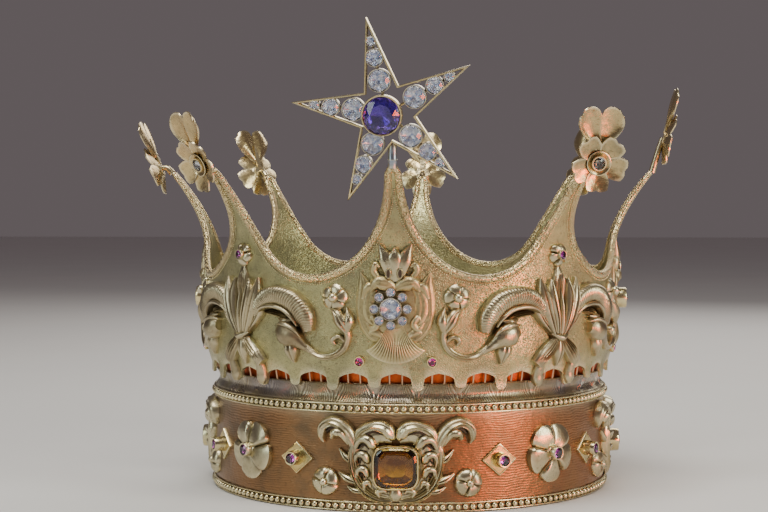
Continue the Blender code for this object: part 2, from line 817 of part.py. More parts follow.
def finial(spire):
    """The cupped flower and heart-shaped leaf soldered to the outside of a spire's tip, on a short stem."""
    angle = spire * SPIRE_PITCH
    outward = Vector((math.sin(angle), -math.cos(angle), 0.0))
    facing = angle + math.radians(FINIAL_TURN_DEG[spire - 1])
    across = Vector((math.cos(facing), math.sin(facing), 0.0))
    lean = math.radians(FINIAL_LEAN_DEG[spire - 1])
    forward = Vector((math.sin(facing), -math.cos(facing), 0.0))
    up = Vector((0.0, 0.0, math.cos(lean))) + forward * math.sin(lean)
    tip = place(angle, body_radius(SPIRE_TOP) - BODY_WALL / 2, SPIRE_TOP)
    lift = FINIAL_LIFT + (LONG_STEM_RISE if spire == LONG_SPIRE else 0.0)
    centre = tip + Vector((0.0, 0.0, lift)) + outward * FINIAL_STAND_OFF
    plane = on_plane(centre, across, up)
    head = lofted(
        f"finial_{spire}",
        plane,
        (0.0, 0.0),
        [
            (petal_outline(FLOWER_RADIUS * 0.45, 5, 0.8), -SHEET_THICK * 0.7),
            (petal_outline(FLOWER_RADIUS, 5, 0.68), FLOWER_CUP),
            (petal_outline(FLOWER_RADIUS * 0.40, 5, 0.9), SHEET_THICK * 0.6),
        ],
        FLOWER_CUP * 1.2,
        gilt(),
    )
    foot = tip + Vector((0.0, 0.0, SOLDER_GAP + STEM_RADIUS))
    along = centre - foot
    side = across
    rise = side.cross(along).normalized()
    stem = lofted(
        "stem",
        on_plane(foot, side, -rise),
        (0.0, 0.0),
        [(round_outline(STEM_RADIUS, 5), 0.0), (round_outline(STEM_RADIUS, 5), along.length)],
        along.length,
        gilt(),
    )
    return union([head, heart(plane), stem])


def star_plane():
    """The star's own plane: its middle, and the directions across and up it."""
    yaw = Matrix.Rotation(math.radians(STAR_YAW_DEG), 3, "Z")
    turn = yaw @ Matrix.Rotation(math.radians(STAR_PITCH_DEG), 3, "X")
    radius = body_radius(SPIRE_TOP) + STAR_STAND_OFF
    middle = place(0.0, radius, STAR_CENTRE_HEIGHT) + Vector((STAR_SHIFT, 0.0, 0.0))
    return middle, turn @ Vector((1.0, 0.0, 0.0)), turn @ Vector((0.0, 0.0, 1.0))


def star_corners(outer, inner):
    """Outline of the five-pointed star, point and notch by turns, as (across, up) points."""
    corners = []
    for k in range(10):
        angle = math.tau * k / 10 - math.radians(STAR_TURN_DEG)
        reach = inner if k % 2 else outer
        corners.append((reach * math.sin(angle), reach * math.cos(angle)))
    return corners


def star():
    """The star: a thin-walled frame on a web, with three collets to each arm and the large stone's seat."""
    plane = on_plane(*star_plane())
    back, front = -STAR_DEPTH / 2, STAR_DEPTH / 2
    step = math.tau / 10
    run = Vector((STAR_RADIUS - STAR_NOTCH_RADIUS * math.cos(step), STAR_NOTCH_RADIUS * math.sin(step)))
    half_point = math.atan2(run.y, run.x)
    outside = star_corners(STAR_RADIUS, STAR_NOTCH_RADIUS)
    inside = star_corners(
        STAR_RADIUS - STAR_WALL / math.sin(half_point),
        STAR_NOTCH_RADIUS - STAR_WALL / math.sin(half_point + step),
    )
    floor = back + STAR_DEPTH * 0.35
    outline_rings = [(outside, back), (outside, front), (inside, front), (inside, floor)]
    pieces = [lofted("star", plane, (0.0, 0.0), outline_rings, floor, gilt())]
    for arm in range(5):
        angle = math.tau * arm / 5 - math.radians(STAR_TURN_DEG)
        for number, (distance_share, radius_share) in enumerate(STAR_BRILLIANTS):
            distance, radius = distance_share * STAR_RADIUS, radius_share * STAR_RADIUS
            inset = STAR_DEPTH * 0.04 * (number + 2)
            outline = round_outline(radius, 5 if number else 6)
            pieces.append(
                lofted(
                    "brilliant",
                    plane,
                    (distance * math.sin(angle), distance * math.cos(angle)),
                    [(outline, back + inset), (outline, front + inset)],
                    front + inset * 2,
                    gilt(),
                )
            )
    seat = round_outline(STAR_STONE_RADIUS + COLLET_WALL / 2, 10)
    seat_rings = [(seat, back + STAR_DEPTH * 0.1), (seat, front)]
    pieces.append(lofted("seat", plane, (0.0, 0.0), seat_rings, front, gilt()))
    return union(pieces)


def star_stone():
    """The large violet stone at the middle of the star."""
    plane = on_plane(*star_plane())
    outline = round_outline(STAR_STONE_RADIUS, 10)
    low = STAR_DEPTH / 2 + SOLDER_GAP
    top = low + STAR_STONE_PROUD
    rings = [(outline, low), (outline, (low + top) / 2), (scaled(outline, 0.6), top)]
    lofted("star_stone", plane, (0.0, 0.0), rings, top, violet_stone())


def star_pin():
    """The pin that stands on the front spire's tip, under the star's lowest notch."""
    foot = place(0.0, body_radius(SPIRE_TOP) - BODY_WALL / 2, SPIRE_TOP + SOLDER_GAP + PIN_RADIUS / 3)
    centre, across, up = star_plane()
    notches = [centre + across * s + up * z for s, z in star_corners(STAR_RADIUS, STAR_NOTCH_RADIUS)[1::2]]
    under = min(notches, key=lambda point: point.z)
    along = under - foot
    length = along.length - PIN_CLEARANCE - STAR_WALL
    side = Vector((1.0, 0.0, 0.0))
    side = (side - side.project(along)).normalized()
    upward = along.normalized().cross(side)
    outline = round_outline(PIN_RADIUS, 8)
    plane = on_plane(foot, side, upward)
    lofted("star_pin", plane, (0.0, 0.0), [(outline, 0.0), (outline, length)], length, steel())


def turned_copies(first, names):
    """The first piece under its own name, and copies that share its mesh, a quarter turn apart."""
    first.name = names[0]
    for quarter, name in enumerate(names[1:], start=1):
        copy = bpy.data.objects.new(name, first.data)
        copy.rotation_euler = (0.0, 0.0, quarter * QUARTER)
        bpy.context.scene.collection.objects.link(copy)


def build():
    """Clears the scene and makes every piece of the crown."""
    for old in list(bpy.data.objects):
        bpy.data.objects.remove(old)

    circlet()
    bead_wire("bead_wire_lower", 0.0)
    bead_wire("bead_wire_upper", BAND_HEIGHT - BEAD_WIRE_HEIGHT)
    engraved_collar()
    crown_body()

    turned_copies(cartouche(), [f"cartouche_{side}" for side in SIDES])
    gem_cluster()
    for quarter in (1, 2, 3):
        gem_collet(f"gem_collet_{SIDES[quarter]}", quarter)

    first_spray = spray()
    first_spray.data.transform(Matrix.Rotation(SPIRE_PITCH, 4, "Z"))
    turned_copies(first_spray, [f"spray_{corner}" for corner in CORNERS])

    band_cartouche("band_cartouche_front", 0.0, CITRINE_WIDTH, 4, CITRINE_PROUD)
    band_stone("band_stone_front", 0.0, CITRINE_WIDTH, 4, CITRINE_PROUD, citrine())
    for quarter, side in enumerate(SIDES):
        angle = quarter * QUARTER
        if quarter:
            band_cartouche(f"band_cartouche_{side}", angle, SIDE_STONE_WIDTH, 2, SIDE_STONE_PROUD)
            band_stone(f"band_stone_{side}", angle, SIDE_STONE_WIDTH, 2, SIDE_STONE_PROUD, violet_stone())
        for hand, word in ((-1, "a"), (1, "b")):
            rosette(
                f"rosette_{side}_{word}",
                angle + hand * math.radians(ROSETTE_DEG),
                ROSETTE_HEIGHT,
                4,
                ROSETTE_RADIUS,
                ROSETTE_PROUD,
            )
            lozenge(f"lozenge_{side}_{word}", angle + hand * math.radians(LOZENGE_DEG))
    for quarter, corner in enumerate(CORNERS):
        angle = (quarter + 0.5) * QUARTER
        name, radius = f"spire_rosette_{corner}", SPIRE_ROSETTE_RADIUS
        rosette(name, angle, SPIRE_ROSETTE_HEIGHT, 5, radius, SPIRE_ROSETTE_PROUD)
        band_flower(f"band_flower_{corner}", angle)

    for spire in range(1, SPIRE_COUNT):
        finial(spire)
    star()
    star_stone()
    star_pin()


build()
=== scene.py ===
import math

import bmesh
import bpy
from mathutils import Matrix, Vector


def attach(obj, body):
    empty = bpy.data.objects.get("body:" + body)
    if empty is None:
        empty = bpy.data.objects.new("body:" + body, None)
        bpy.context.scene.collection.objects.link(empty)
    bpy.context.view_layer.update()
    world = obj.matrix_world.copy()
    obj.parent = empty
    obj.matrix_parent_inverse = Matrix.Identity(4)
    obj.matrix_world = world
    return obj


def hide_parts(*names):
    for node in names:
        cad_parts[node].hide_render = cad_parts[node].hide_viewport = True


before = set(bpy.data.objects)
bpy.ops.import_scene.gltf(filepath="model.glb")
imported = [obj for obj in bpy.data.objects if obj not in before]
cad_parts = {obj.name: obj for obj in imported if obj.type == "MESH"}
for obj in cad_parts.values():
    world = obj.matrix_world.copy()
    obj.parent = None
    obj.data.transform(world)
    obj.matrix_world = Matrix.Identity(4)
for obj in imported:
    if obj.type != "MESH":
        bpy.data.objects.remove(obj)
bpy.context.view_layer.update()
print("crown: the packed model is loaded")

# All modelling below is in millimetres. makePiece turns it into metres.
# Angles run round the crown from its front, towards its own left (+X).
# A panel map takes the distance across the panel, the height and how far a point stands proud.

crownForm = {
    "spires": 8,
    "hemRadius": 86.2,
    "hemHeight": 52.5,
    "flare": 2.3,
    "flareHeight": 64.0,
    "bendHeight": 102.0,
    "bend": 17.2,
    "bendPower": 1.7,
    "arcHeight": 92.7,
    "arcRise": 38.5,
    "spireTop": 135.0,
    "rimWidth": 3.4,
    "wall": 1.2,
    "bandRadius": 84.6,
    "bandWall": 1.4,
    "bandHeight": 42.8,
}
sides = ("front", "left", "back", "right")
corners = ("front_left", "back_left", "back_right", "front_right")
spirePitch = math.tau / crownForm["spires"]
quarterTurn = math.tau / 4
atCentre = (0.0, 0.0)


def bodyRadius(z):
    form = crownForm
    hemShare = min(1.0, max(0.0, (z - form["hemHeight"]) / (form["flareHeight"] - form["hemHeight"])))
    bendShare = max(0.0, (z - form["bendHeight"]) / (form["spireTop"] - form["bendHeight"]))
    radius = form["hemRadius"] + form["flare"] * math.sin(hemShare * math.pi / 2)
    return radius + form["bend"] * bendShare ** form["bendPower"]


arcRadius = bodyRadius(crownForm["arcHeight"])
halfPitch = spirePitch / 2 * arcRadius


def placeAt(angle, radius, z):
    return Vector((radius * math.sin(angle), -radius * math.cos(angle), z))


def onBody(angle):
    return lambda s, z, h: placeAt(angle + s / arcRadius, bodyRadius(z) + h, z)


def onBand(angle):
    radius = crownForm["bandRadius"]
    return lambda s, z, h: placeAt(angle + s / radius, radius + h, z)


def onPlane(origin, across, up):
    normal = across.cross(up)
    return lambda s, z, h: origin + across * s + up * z + normal * h


def flatAt(panel, s, z):
    # The flat plane that touches a panel at one place, for stones and flowers
    origin = panel(s, z, 0.0)
    across = (panel(s + 0.5, z, 0.0) - origin).normalized()
    up = panel(s, z + 0.5, 0.0) - origin
    up = (up - across * up.dot(across)).normalized()
    return onPlane(origin, across, up)


def around(plane, centre, radius, angle, rise):
    # A point at a distance and a clock angle from a centre on a plane
    return plane(centre[0] + radius * math.sin(angle), centre[1] + radius * math.cos(angle), rise)


# Meshes


def gridFaces(rows, columns, start=0, closeRows=False, closeColumns=False):
    faces = []
    for r in range(rows if closeRows else rows - 1):
        for c in range(columns if closeColumns else columns - 1):
            low = start + r * columns
            high = start + (r + 1) % rows * columns
            after = (c + 1) % columns
            faces.append([low + c, low + after, high + after, high + c])
    return faces


def sectionPart(sections, closed=False):
    # A closed body through sections of equally many points
    count = len(sections[0])
    points = [p for section in sections for p in section]
    faces = gridFaces(len(sections), count, closeRows=closed, closeColumns=True)
    if not closed:
        faces.append(list(range(count)))
        faces.append([len(points) - 1 - k for k in range(count)])
    return points, faces


def lathePart(plane, profile, steps=20, centre=atCentre):
    # A closed profile of (radius, height) turned about a plane's own normal
    sections = []
    for k in range(steps):
        sections.append([around(plane, centre, r, math.tau * k / steps, h) for r, h in profile])
    return sectionPart(sections, closed=True)


def ballPart(plane, centre, radius, low, steps=10, squash=1.0):
    profile = []
    for k in range(7):
        a = math.pi * k / 6
        profile.append((radius * math.sin(a), low + radius * squash * (1 - math.cos(a))))
    return lathePart(plane, profile, steps, centre)


def ringPart(profile, steps=240):
    # A closed profile of (radius, height) turned about the crown's axis
    sections = []
    for k in range(steps):
        sections.append([placeAt(math.tau * k / steps, r, z) for r, z in profile])
    return sectionPart(sections, closed=True)


def sheetPart(rows, thick):
    # A thin closed sheet round a grid of points
    countR, countC = len(rows), len(rows[0])
    front, back = [], []
    for r in range(countR):
        for c in range(countC):
            up = rows[min(r + 1, countR - 1)][c] - rows[max(r - 1, 0)][c]
            along = rows[r][min(c + 1, countC - 1)] - rows[r][max(c - 1, 0)]
            normal = along.cross(up).normalized()
            front.append(rows[r][c] + normal * thick / 2)
            back.append(rows[r][c] - normal * thick / 2)
    size = countR * countC
    faces = gridFaces(countR, countC) + [face[::-1] for face in gridFaces(countR, countC, size)]
    edge = [(0, c) for c in range(countC)]
    edge += [(r, countC - 1) for r in range(1, countR)]
    edge += [(countR - 1, c) for c in range(countC - 2, -1, -1)]
    edge += [(r, 0) for r in range(countR - 2, 0, -1)]
    rim = [r * countC + c for r, c in edge]
    for a, b in zip(rim, rim[1:] + rim[:1]):
        faces.append([a, b, b + size, a + size])
    return front + back, faces


def tubePart(path, radii, steps=10, flat=1.0, outward=None):
    # A round or flattened wire along a path; outward gives each point's own flat direction
    sections = []
    last = len(path) - 1
    side = None
    for k, point in enumerate(path):
        along = (path[min(k + 1, last)] - path[max(k - 1, 0)]).normalized()
        if outward:
            side = outward[k]
        elif side is None:
            side = Vector((0.0, 0.0, 1.0)) if abs(along.z) < 0.9 else Vector((1.0, 0.0, 0.0))
        side = (side - along * side.dot(along)).normalized()
        other = along.cross(side)
        radius = radii[k] if isinstance(radii, list) else radii
        ring = []
        for j in range(steps):
            a = math.tau * j / steps
            ring.append(point + side * radius * flat * math.cos(a) + other * radius * math.sin(a))
        sections.append(ring)
    return sectionPart(sections)


def easeBetween(a, b, c, d, f):
    # The value between b and c on a smooth line through all four
    bent = 2 * b + (c - a) * f + (2 * a - 5 * b + 4 * c - d) * f * f
    return 0.5 * (bent + (3 * b - a - 3 * c + d) * f ** 3)


def smoothPath(controls, count):
    # Evenly spread points on a smooth line through the controls, which hold any number of values
    last = len(controls) - 1
    made = []
    for k in range(count):
        t = last * k / (count - 1)
        i = min(int(t), last - 1)
        near = controls[max(i - 1, 0)], controls[i], controls[i + 1], controls[min(i + 2, last)]
        made.append(tuple(easeBetween(*values, t - i) for values in zip(*near)))
    return made


def leafPart(panel, controls, side=1, along=22, across=10, base=-0.5, edge=0.3, vein=0.0, ribs=0,
             ribDepth=0.2, slant=0.1, flutes=0, fluteDepth=0.15, twist=0.0, power=0.6):
    # An embossed leaf or scroll along a path of (across, height, half width, crest)
    stations = smoothPath(controls, along)
    sections = []
    for k, (s, z, half, crest) in enumerate(stations):
        ahead, back = stations[min(k + 1, along - 1)], stations[max(k - 1, 0)]
        run = Vector((ahead[0] - back[0], ahead[1] - back[1])).normalized()
        u = k / (along - 1)
        half = max(half, 0.12)
        crest = max(crest, 0.15)
        section = [panel(side * (s + run.y * half), z - run.x * half, base)]
        for j in range(across + 1):
            v = 2 * j / across - 1
            dome = (1 - v * v) ** power if abs(v) < 1 else 0.0
            rise = crest * (edge + (1 - edge) * dome)
            rise *= 1 - vein * math.exp(-((v / 0.16) ** 2))
            rise *= 1 + twist * v
            if ribs:
                cut = 0.5 - 0.5 * math.cos(math.tau * ribs * (u - slant * abs(v)))
                rise *= 1 - ribDepth * cut * min(1, 1.6 * (1 - u) + 0.4)
            if flutes:
                cut = 0.5 - 0.5 * math.cos(math.pi * flutes * v)
                rise *= 1 - fluteDepth * cut * math.sin(math.pi * min(1, 0.1 + u))
            section.append(panel(side * (s - run.y * half * v), z + run.x * half * v, rise))
        section.append(panel(side * (s - run.y * half), z + run.x * half, base))
        sections.append(section)
    return sectionPart(sections)


def leafParts(panel, table):
    # A row holds the hands it is made for, its path, its steps along and across, and what is special
    parts = []
    for hands, controls, along, across, extra in table:
        parts += [leafPart(panel, controls, hand, along, across, **extra) for hand in hands]
    return parts


bothHands = (-1, 1)
once = (1,)


def stonePart(plane, centre, radius, girdle, crown, depth, table=0.56):
    # A round brilliant cut: table, star, kite and girdle facets, and a pointed pavilion
    points, faces = [], [list(range(8))]
    for k in range(8):
        points.append(around(plane, centre, radius * table, math.tau * k / 8, girdle + crown))
    for k in range(8):
        points.append(around(plane, centre, radius * 0.80, math.tau * (k + 0.5) / 8, girdle + crown * 0.6))
    for low in (0.0, 0.12):
        for k in range(16):
            points.append(around(plane, centre, radius, math.tau * k / 16, girdle - low * crown))
    points.append(around(plane, centre, 0.0, 0.0, girdle - depth))
    for k in range(8):
        edge = 16 + 2 * k
        faces.append([k, (k + 1) % 8, 8 + k])
        faces.append([k, 8 + k, edge, 8 + (k - 1) % 8])
        faces.append([8 + k, edge + 1, edge])
        faces.append([8 + k, 16 + (2 * k + 2) % 16, edge + 1])
    for k in range(16):
        after = (k + 1) % 16
        faces.append([16 + k, 16 + after, 32 + after, 32 + k])
        faces.append([32 + k, 32 + after, 48])
    return points, faces


def foilPart(plane, centre, radius, girdle, depth, steps=16):
    # The bright folded lining below a stone
    sections = []
    for k in range(steps):
        reach, inner = (radius * 0.99, radius * 0.46) if k % 2 else (radius * 0.90, radius * 0.54)
        profile = [(0.0, girdle - depth), (inner, girdle - depth * 0.72), (reach, girdle - 0.16)]
        profile += [(reach, girdle - 0.3), (0.0, girdle - depth - 0.2)]
        sections.append([around(plane, centre, r, math.tau * k / steps, h) for r, h in profile])
    return sectionPart(sections, closed=True)


def colletPart(plane, centre, inner, wall, low, high, flare=0.0, steps=20):
    # A stone's cup: an open tube with a rounded lip and a floor under the stone
    outer = inner + wall
    floor = low + 0.2 * (high - low)
    profile = [
        (0.0, low),
        (outer - flare, low),
        (outer - flare * 0.3, low + 0.6 * (high - low)),
        (outer, high - wall * 0.35),
        (outer - wall * 0.2, high - wall * 0.05),
        (inner + wall * 0.4, high),
        (inner - 0.05, high - wall * 0.15),
        (inner - 0.1, high - wall * 0.6),
        (inner * 0.8, floor + 0.1),
        (0.0, floor),
    ]
    return lathePart(plane, profile, steps, centre)


def flowerPart(plane, petals, radius, crest, notch, groove, skew=0.25, steps=12, rings=9, turn=0.0,
               base=-0.4):
    # A flower as one domed relief, whose petals bulge and overlap
    sections = []
    for k in range(petals * steps):
        v = 2 * (k % steps) / steps - 1
        a = math.tau * k / (petals * steps) + turn
        reach = radius * (notch + (1 - notch) * (1 - abs(v) ** 2.4) ** 0.5)
        section = []
        for r in range(rings):
            q = (r + 0.0001) / (rings - 1)
            bulge = math.sin(math.pi * q ** 0.8) ** 0.7 if q < 1 else 0.0
            gap = 1 - groove * math.exp(-(((1 - abs(v)) / 0.16) ** 2)) * min(1, q * 2.5)
            rise = crest * (0.35 + 0.65 * bulge) * gap * (1 + skew * v * q)
            section.append(around(plane, atCentre, reach * q, a, max(rise, base + 0.2)))
        section.append(around(plane, atCentre, reach, a, base))
        section.append(plane(0.0, 0.0, base))
        sections.append(section)
    return sectionPart(sections, closed=True)


def makeMesh(name, parts, sharp=42.0):
    # Each part is closed by itself, so doubles are merged part by part
    shape = bmesh.new()
    for points, faces in parts:
        verts = [shape.verts.new(Vector(p) * 0.001) for p in points]
        for face in faces:
            shape.faces.new([verts[k] for k in face])
        bmesh.ops.remove_doubles(shape, verts=verts, dist=2e-7)
    bmesh.ops.dissolve_degenerate(shape, dist=1e-7, edges=shape.edges)
    bmesh.ops.recalc_face_normals(shape, faces=shape.faces)
    mesh = bpy.data.meshes.new(name)
    shape.to_mesh(mesh)
    shape.free()
    mesh.polygons.foreach_set("use_smooth", [sharp > 0] * len(mesh.polygons))
    if sharp > 0:
        mesh.set_sharp_from_angle(angle=math.radians(sharp))
    return mesh


def dress(name, mesh, finish, nodes=()):
    mesh.materials.clear()
    mesh.materials.append(finish)
    piece = bpy.data.objects.new(name, mesh)
    bpy.context.scene.collection.objects.link(piece)
    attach(piece, "root")
    if nodes:
        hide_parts(*nodes)
    return piece


def makePiece(name, parts, finish, nodes=(), sharp=42.0):
    return dress(name, makeMesh(name, parts, sharp), finish, nodes)


def quarterCopies(word, parts, finish, node="", places=sides, sharp=42.0):
    # The same relief on four panels, each a mesh of its own in its own place
    first = makeMesh(word, parts, sharp)
    for k, place in enumerate(places):
        mesh = first.copy()
        mesh.name = word.format(place)
        mesh.transform(Matrix.Rotation(quarterTurn * k, 4, "Z"))
        dress(mesh.name, mesh, finish, [node.format(place)] if node else ())
    bpy.data.meshes.remove(first)


# Finishes


class Wire:
    # A socket that can be used in plain sums
    def __init__(self, paint, socket):
        self.paint = paint
        self.socket = socket

    def __add__(self, other):
        return self.paint.sum("ADD", self, other)

    def __radd__(self, other):
        return self.paint.sum("ADD", other, self)

    def __sub__(self, other):
        return self.paint.sum("SUBTRACT", self, other)

    def __rsub__(self, other):
        return self.paint.sum("SUBTRACT", other, self)

    def __mul__(self, other):
        return self.paint.sum("MULTIPLY", self, other)

    def __rmul__(self, other):
        return self.paint.sum("MULTIPLY", other, self)


class Paint:
    # One finish: its node tree, and the one way its nodes are made
    def __init__(self, name):
        self.material = bpy.data.materials.new(name)
        self.material.use_nodes = True
        self.tree = self.material.node_tree
        self.tree.nodes.clear()

    def node(self, kind, settings=None, sockets=None, out=0):
        made = self.tree.nodes.new(kind)
        for key, value in (settings or {}).items():
            setattr(made, key, value)
        for key, value in (sockets or {}).items():
            if isinstance(value, Wire):
                self.tree.links.new(value.socket, made.inputs[key])
            else:
                made.inputs[key].default_value = value
        return Wire(self, made.outputs[out])

    def sum(self, operation, a, b=0.0):
        return self.node("ShaderNodeMath", {"operation": operation}, {0: a, 1: b})

    def blend(self, share, a, b):
        # Mixes two colours, given as a link or as red, green and blue
        a, b = (colour if isinstance(colour, Wire) else (*colour, 1.0) for colour in (a, b))
        return self.node("ShaderNodeMix", {"data_type": "RGBA"}, {0: share, 6: a, 7: b}, 2)

    def spot(self):
        return self.node("ShaderNodeTexCoord", out=3)

    def axis(self, number):
        return self.node("ShaderNodeSeparateXYZ", None, {0: self.spot()}, number)

    def noise(self, scale, detail=3.0, rough=0.55):
        sockets = {"Vector": self.spot(), "Scale": scale, "Detail": detail, "Roughness": rough}
        return self.node("ShaderNodeTexNoise", {"noise_dimensions": "3D"}, sockets)

    def span(self, value, low, high, outLow=0.0, outHigh=1.0):
        sockets = {"Value": value, "From Min": low, "From Max": high, "To Min": outLow, "To Max": outHigh}
        return self.node("ShaderNodeMapRange", {"clamp": True}, sockets)

    def bump(self, height, strength, distance):
        sockets = {"Height": height, "Strength": strength, "Distance": distance}
        return self.node("ShaderNodeBump", None, sockets)

    def finish(self, plain, varied):
        # Plain values are set on the shader itself, and only what varies is linked
        shader = self.tree.nodes.new("ShaderNodeBsdfPrincipled")
        for key, value in plain.items():
            shader.inputs[key].default_value = value
        for key, value in varied.items():
            self.tree.links.new(value.socket, shader.inputs[key])
        output = self.tree.nodes.new("ShaderNodeOutputMaterial")
        self.tree.links.new(shader.outputs[0], output.inputs[0])
        return self.material


# Dark brown for grime, and also for painted shade
grimeAndShade = (0.085, 0.055, 0.026)
brightWear = (0.93, 0.84, 0.56)
bluePatch = (0.16, 0.18, 0.36)


def goldFinish(name, tones, roughness, grain, stipple=0.0, lines=0.0, rays=0.0, bluePatches=0.0,
               dents=0.35, depth=0.0003):
    # Gilded metal: cloudy tone, grime in the recesses, painted shade near other parts, worn bright edges and
    # a tooled surface
    paint = Paint(name)
    base, dull, warm = tones
    cloud = paint.noise(60.0, 4.0, 0.62)
    patches = paint.noise(17.0, 3.0, 0.5)
    fine = paint.noise(900.0, 3.0, 0.6)
    colour = paint.blend(paint.span(cloud, 0.42, 0.66), base, dull)
    colour = paint.blend(paint.span(patches, 0.54, 0.72, 0.0, 0.5), colour, warm)
    colour = paint.blend(paint.span(fine, 0.56, 0.74, 0.0, 0.5), colour, grimeAndShade)
    pointy = paint.node("ShaderNodeNewGeometry", out=7)
    worn = paint.span(pointy, 0.51, 0.57)
    recess = paint.span(pointy, 0.49, 0.43)
    # Painted shade: ambient occlusion darkens the colour near other parts and in tight corners
    shade = paint.node("ShaderNodeAmbientOcclusion", {"samples": 6}, {"Distance": 0.0025}, 1)
    occlusionShade = paint.span(shade, 0.62, 0.15, 0.0, 0.7)
    colour = paint.blend(worn * 0.5, colour, brightWear)
    colour = paint.blend(recess * 0.85, colour, grimeAndShade)
    colour = paint.blend(occlusionShade, colour, grimeAndShade)
    rough = paint.span(cloud, 0.3, 0.7, *roughness) + recess * 0.15 + occlusionShade * 0.12
    height = fine * grain + paint.noise(170.0, 2.0) * dents * 3.0
    if stipple:
        sockets = {"Vector": paint.spot(), "Scale": 1700.0, "Randomness": 0.9}
        dots = paint.node("ShaderNodeTexVoronoi", {"feature": "F1"}, sockets)
        height = height + paint.span(dots, 0.12, 0.55, 0.0, stipple)
        colour = paint.blend(paint.span(dots, 0.3, 0.05, 0.0, 0.28), colour, grimeAndShade)
    if lines:
        # Fine level strokes that waver a little
        wave = paint.sum("SINE", paint.axis(2) * 6200.0 + paint.noise(90.0, 2.0) * 22.0)
        height = height + wave * lines
    if rays:
        # Engraved strokes that fan out round the collar
        angle = paint.sum("ARCTAN2", paint.axis(1), paint.axis(0))
        slow = paint.sum("SINE", angle * 32.0)
        fan = paint.sum("SINE", angle * 520.0 + slow * (paint.axis(2) - 0.0425) * 2400.0)
        cut = paint.span(fan, -0.3, 0.8)
        height = height + cut * rays
        colour = paint.blend(cut * 0.35, colour, grimeAndShade)
    # Bluish patches over the colour
    if bluePatches:
        blueShare = paint.span(paint.noise(26.0, 3.0, 0.6), 0.54, 0.66, 0.0, bluePatches)
        colour = paint.blend(blueShare, colour, bluePatch)
    varied = {"Base Color": colour, "Roughness": rough, "Normal": paint.bump(height, 0.9, depth)}
    return paint.finish({"Metallic": 1.0}, varied)


def dullFinish(name, dark, light):
    # Flat dark matte paint for painted shade in holes and under rolls
    paint = Paint(name)
    colour = paint.blend(paint.noise(500.0, 2.0), dark, light)
    return paint.finish({"Metallic": 0.0, "Roughness": 0.8}, {"Base Color": colour})


def stoneFinish(name, colour, ior, alpha=1.0, roughness=0.02):
    # A cut stone: faint haze and scratches on the facets
    paint = Paint(name)
    haze = paint.noise(300.0, 2.0)
    tint = paint.blend(paint.span(haze, 0.4, 0.7), colour, [c * 0.82 for c in colour])
    rough = paint.span(haze, 0.45, 0.75, roughness, roughness + 0.05)
    plain = {"Metallic": 0.0, "IOR": ior, "Transmission Weight": 1.0, "Alpha": alpha}
    return paint.finish(plain, {"Base Color": tint, "Roughness": rough})


def foilFinish(name, bright, dark, metal, roughness, shadeSpan=None):
    # The bright lining under a stone; in some, painted shade darkens it towards the top
    paint = Paint(name)
    share = paint.span(paint.noise(900.0, 2.0), 0.35, 0.65)
    if shadeSpan:
        # Painted shade: the lining grows darker with height
        share = paint.span(paint.axis(2) + paint.noise(350.0, 2.0) * 0.006, *shadeSpan)
    colour = paint.blend(share, bright, dark)
    return paint.finish({"Metallic": metal, "Roughness": roughness}, {"Base Color": colour})


# Each gold has its clean, dull and warm tone
ground, groundDull, groundWarm = (0.53, 0.49, 0.25), (0.32, 0.30, 0.17), (0.50, 0.37, 0.19)
reliefDull = (0.34, 0.29, 0.18)
goldTones = {
    "ground": (ground, groundDull, groundWarm),
    "chased": ((0.58, 0.49, 0.25), (0.36, 0.30, 0.16), (0.50, 0.35, 0.18)),
    # The band's dark red-brown is partly its own tone and partly a painted reflection of dark red cloth
    # below
    "band": ((0.29, 0.16, 0.075), (0.18, 0.12, 0.07), (0.36, 0.13, 0.045)),
    "rim": ((0.72, 0.56, 0.26), groundWarm, ground),
    "bead": ((0.78, 0.64, 0.34), ground, groundDull),
    # Red-orange of the lining and posts: painted reflected light
    "lining": ((0.62, 0.12, 0.03), (0.34, 0.05, 0.015), (0.66, 0.18, 0.04)),
    "relief": ((0.62, 0.56, 0.36), reliefDull, groundWarm),
    "spray": ((0.47, 0.40, 0.25), (0.25, 0.20, 0.12), (0.46, 0.27, 0.12)),
    "petal": ((0.68, 0.52, 0.26), (0.36, 0.30, 0.17), (0.74, 0.40, 0.18)),
    "collet": ((0.80, 0.60, 0.24), ground, groundWarm),
    "collar": ((0.44, 0.38, 0.29), reliefDull, groundWarm),
    "silver": ((0.66, 0.64, 0.60), (0.42, 0.40, 0.36), (0.60, 0.50, 0.38)),
    "steel": ((0.26, 0.36, 0.50), (0.18, 0.22, 0.32), (0.32, 0.34, 0.40)),
}
matteGold = goldFinish("matteGold", goldTones["ground"], (0.27, 0.42), 0.6, stipple=0.55)
chasedGold = goldFinish("chasedGold", goldTones["chased"], (0.32, 0.46), 0.6)
bandGold = goldFinish("bandGold", goldTones["band"], (0.28, 0.42), 0.5, lines=0.08)
rimGold = goldFinish("rimGold", goldTones["rim"], (0.2, 0.34), 0.8, stipple=1.2, depth=0.0004)
beadGold = goldFinish("beadGold", goldTones["bead"], (0.2, 0.32), 0.15, dents=0.1)
reflectedRedLining = goldFinish("reflectedRedLining", goldTones["lining"], (0.35, 0.5), 0.5)
reliefGold = goldFinish("reliefGold", goldTones["relief"], (0.23, 0.38), 0.3, dents=0.25)
sprayGold = goldFinish("sprayGold", goldTones["spray"], (0.27, 0.42), 0.4, dents=0.3)
petalGold = goldFinish("petalGold", goldTones["petal"], (0.2, 0.36), 0.25, dents=0.5)
colletGold = goldFinish("colletGold", goldTones["collet"], (0.16, 0.28), 0.15, dents=0.1)
collarGilt = goldFinish("collarGilt", goldTones["collar"], (0.22, 0.38), 0.2, rays=1.0, bluePatches=0.3)
silverWire = goldFinish("silverWire", goldTones["silver"], (0.18, 0.3), 0.15, dents=0.1)
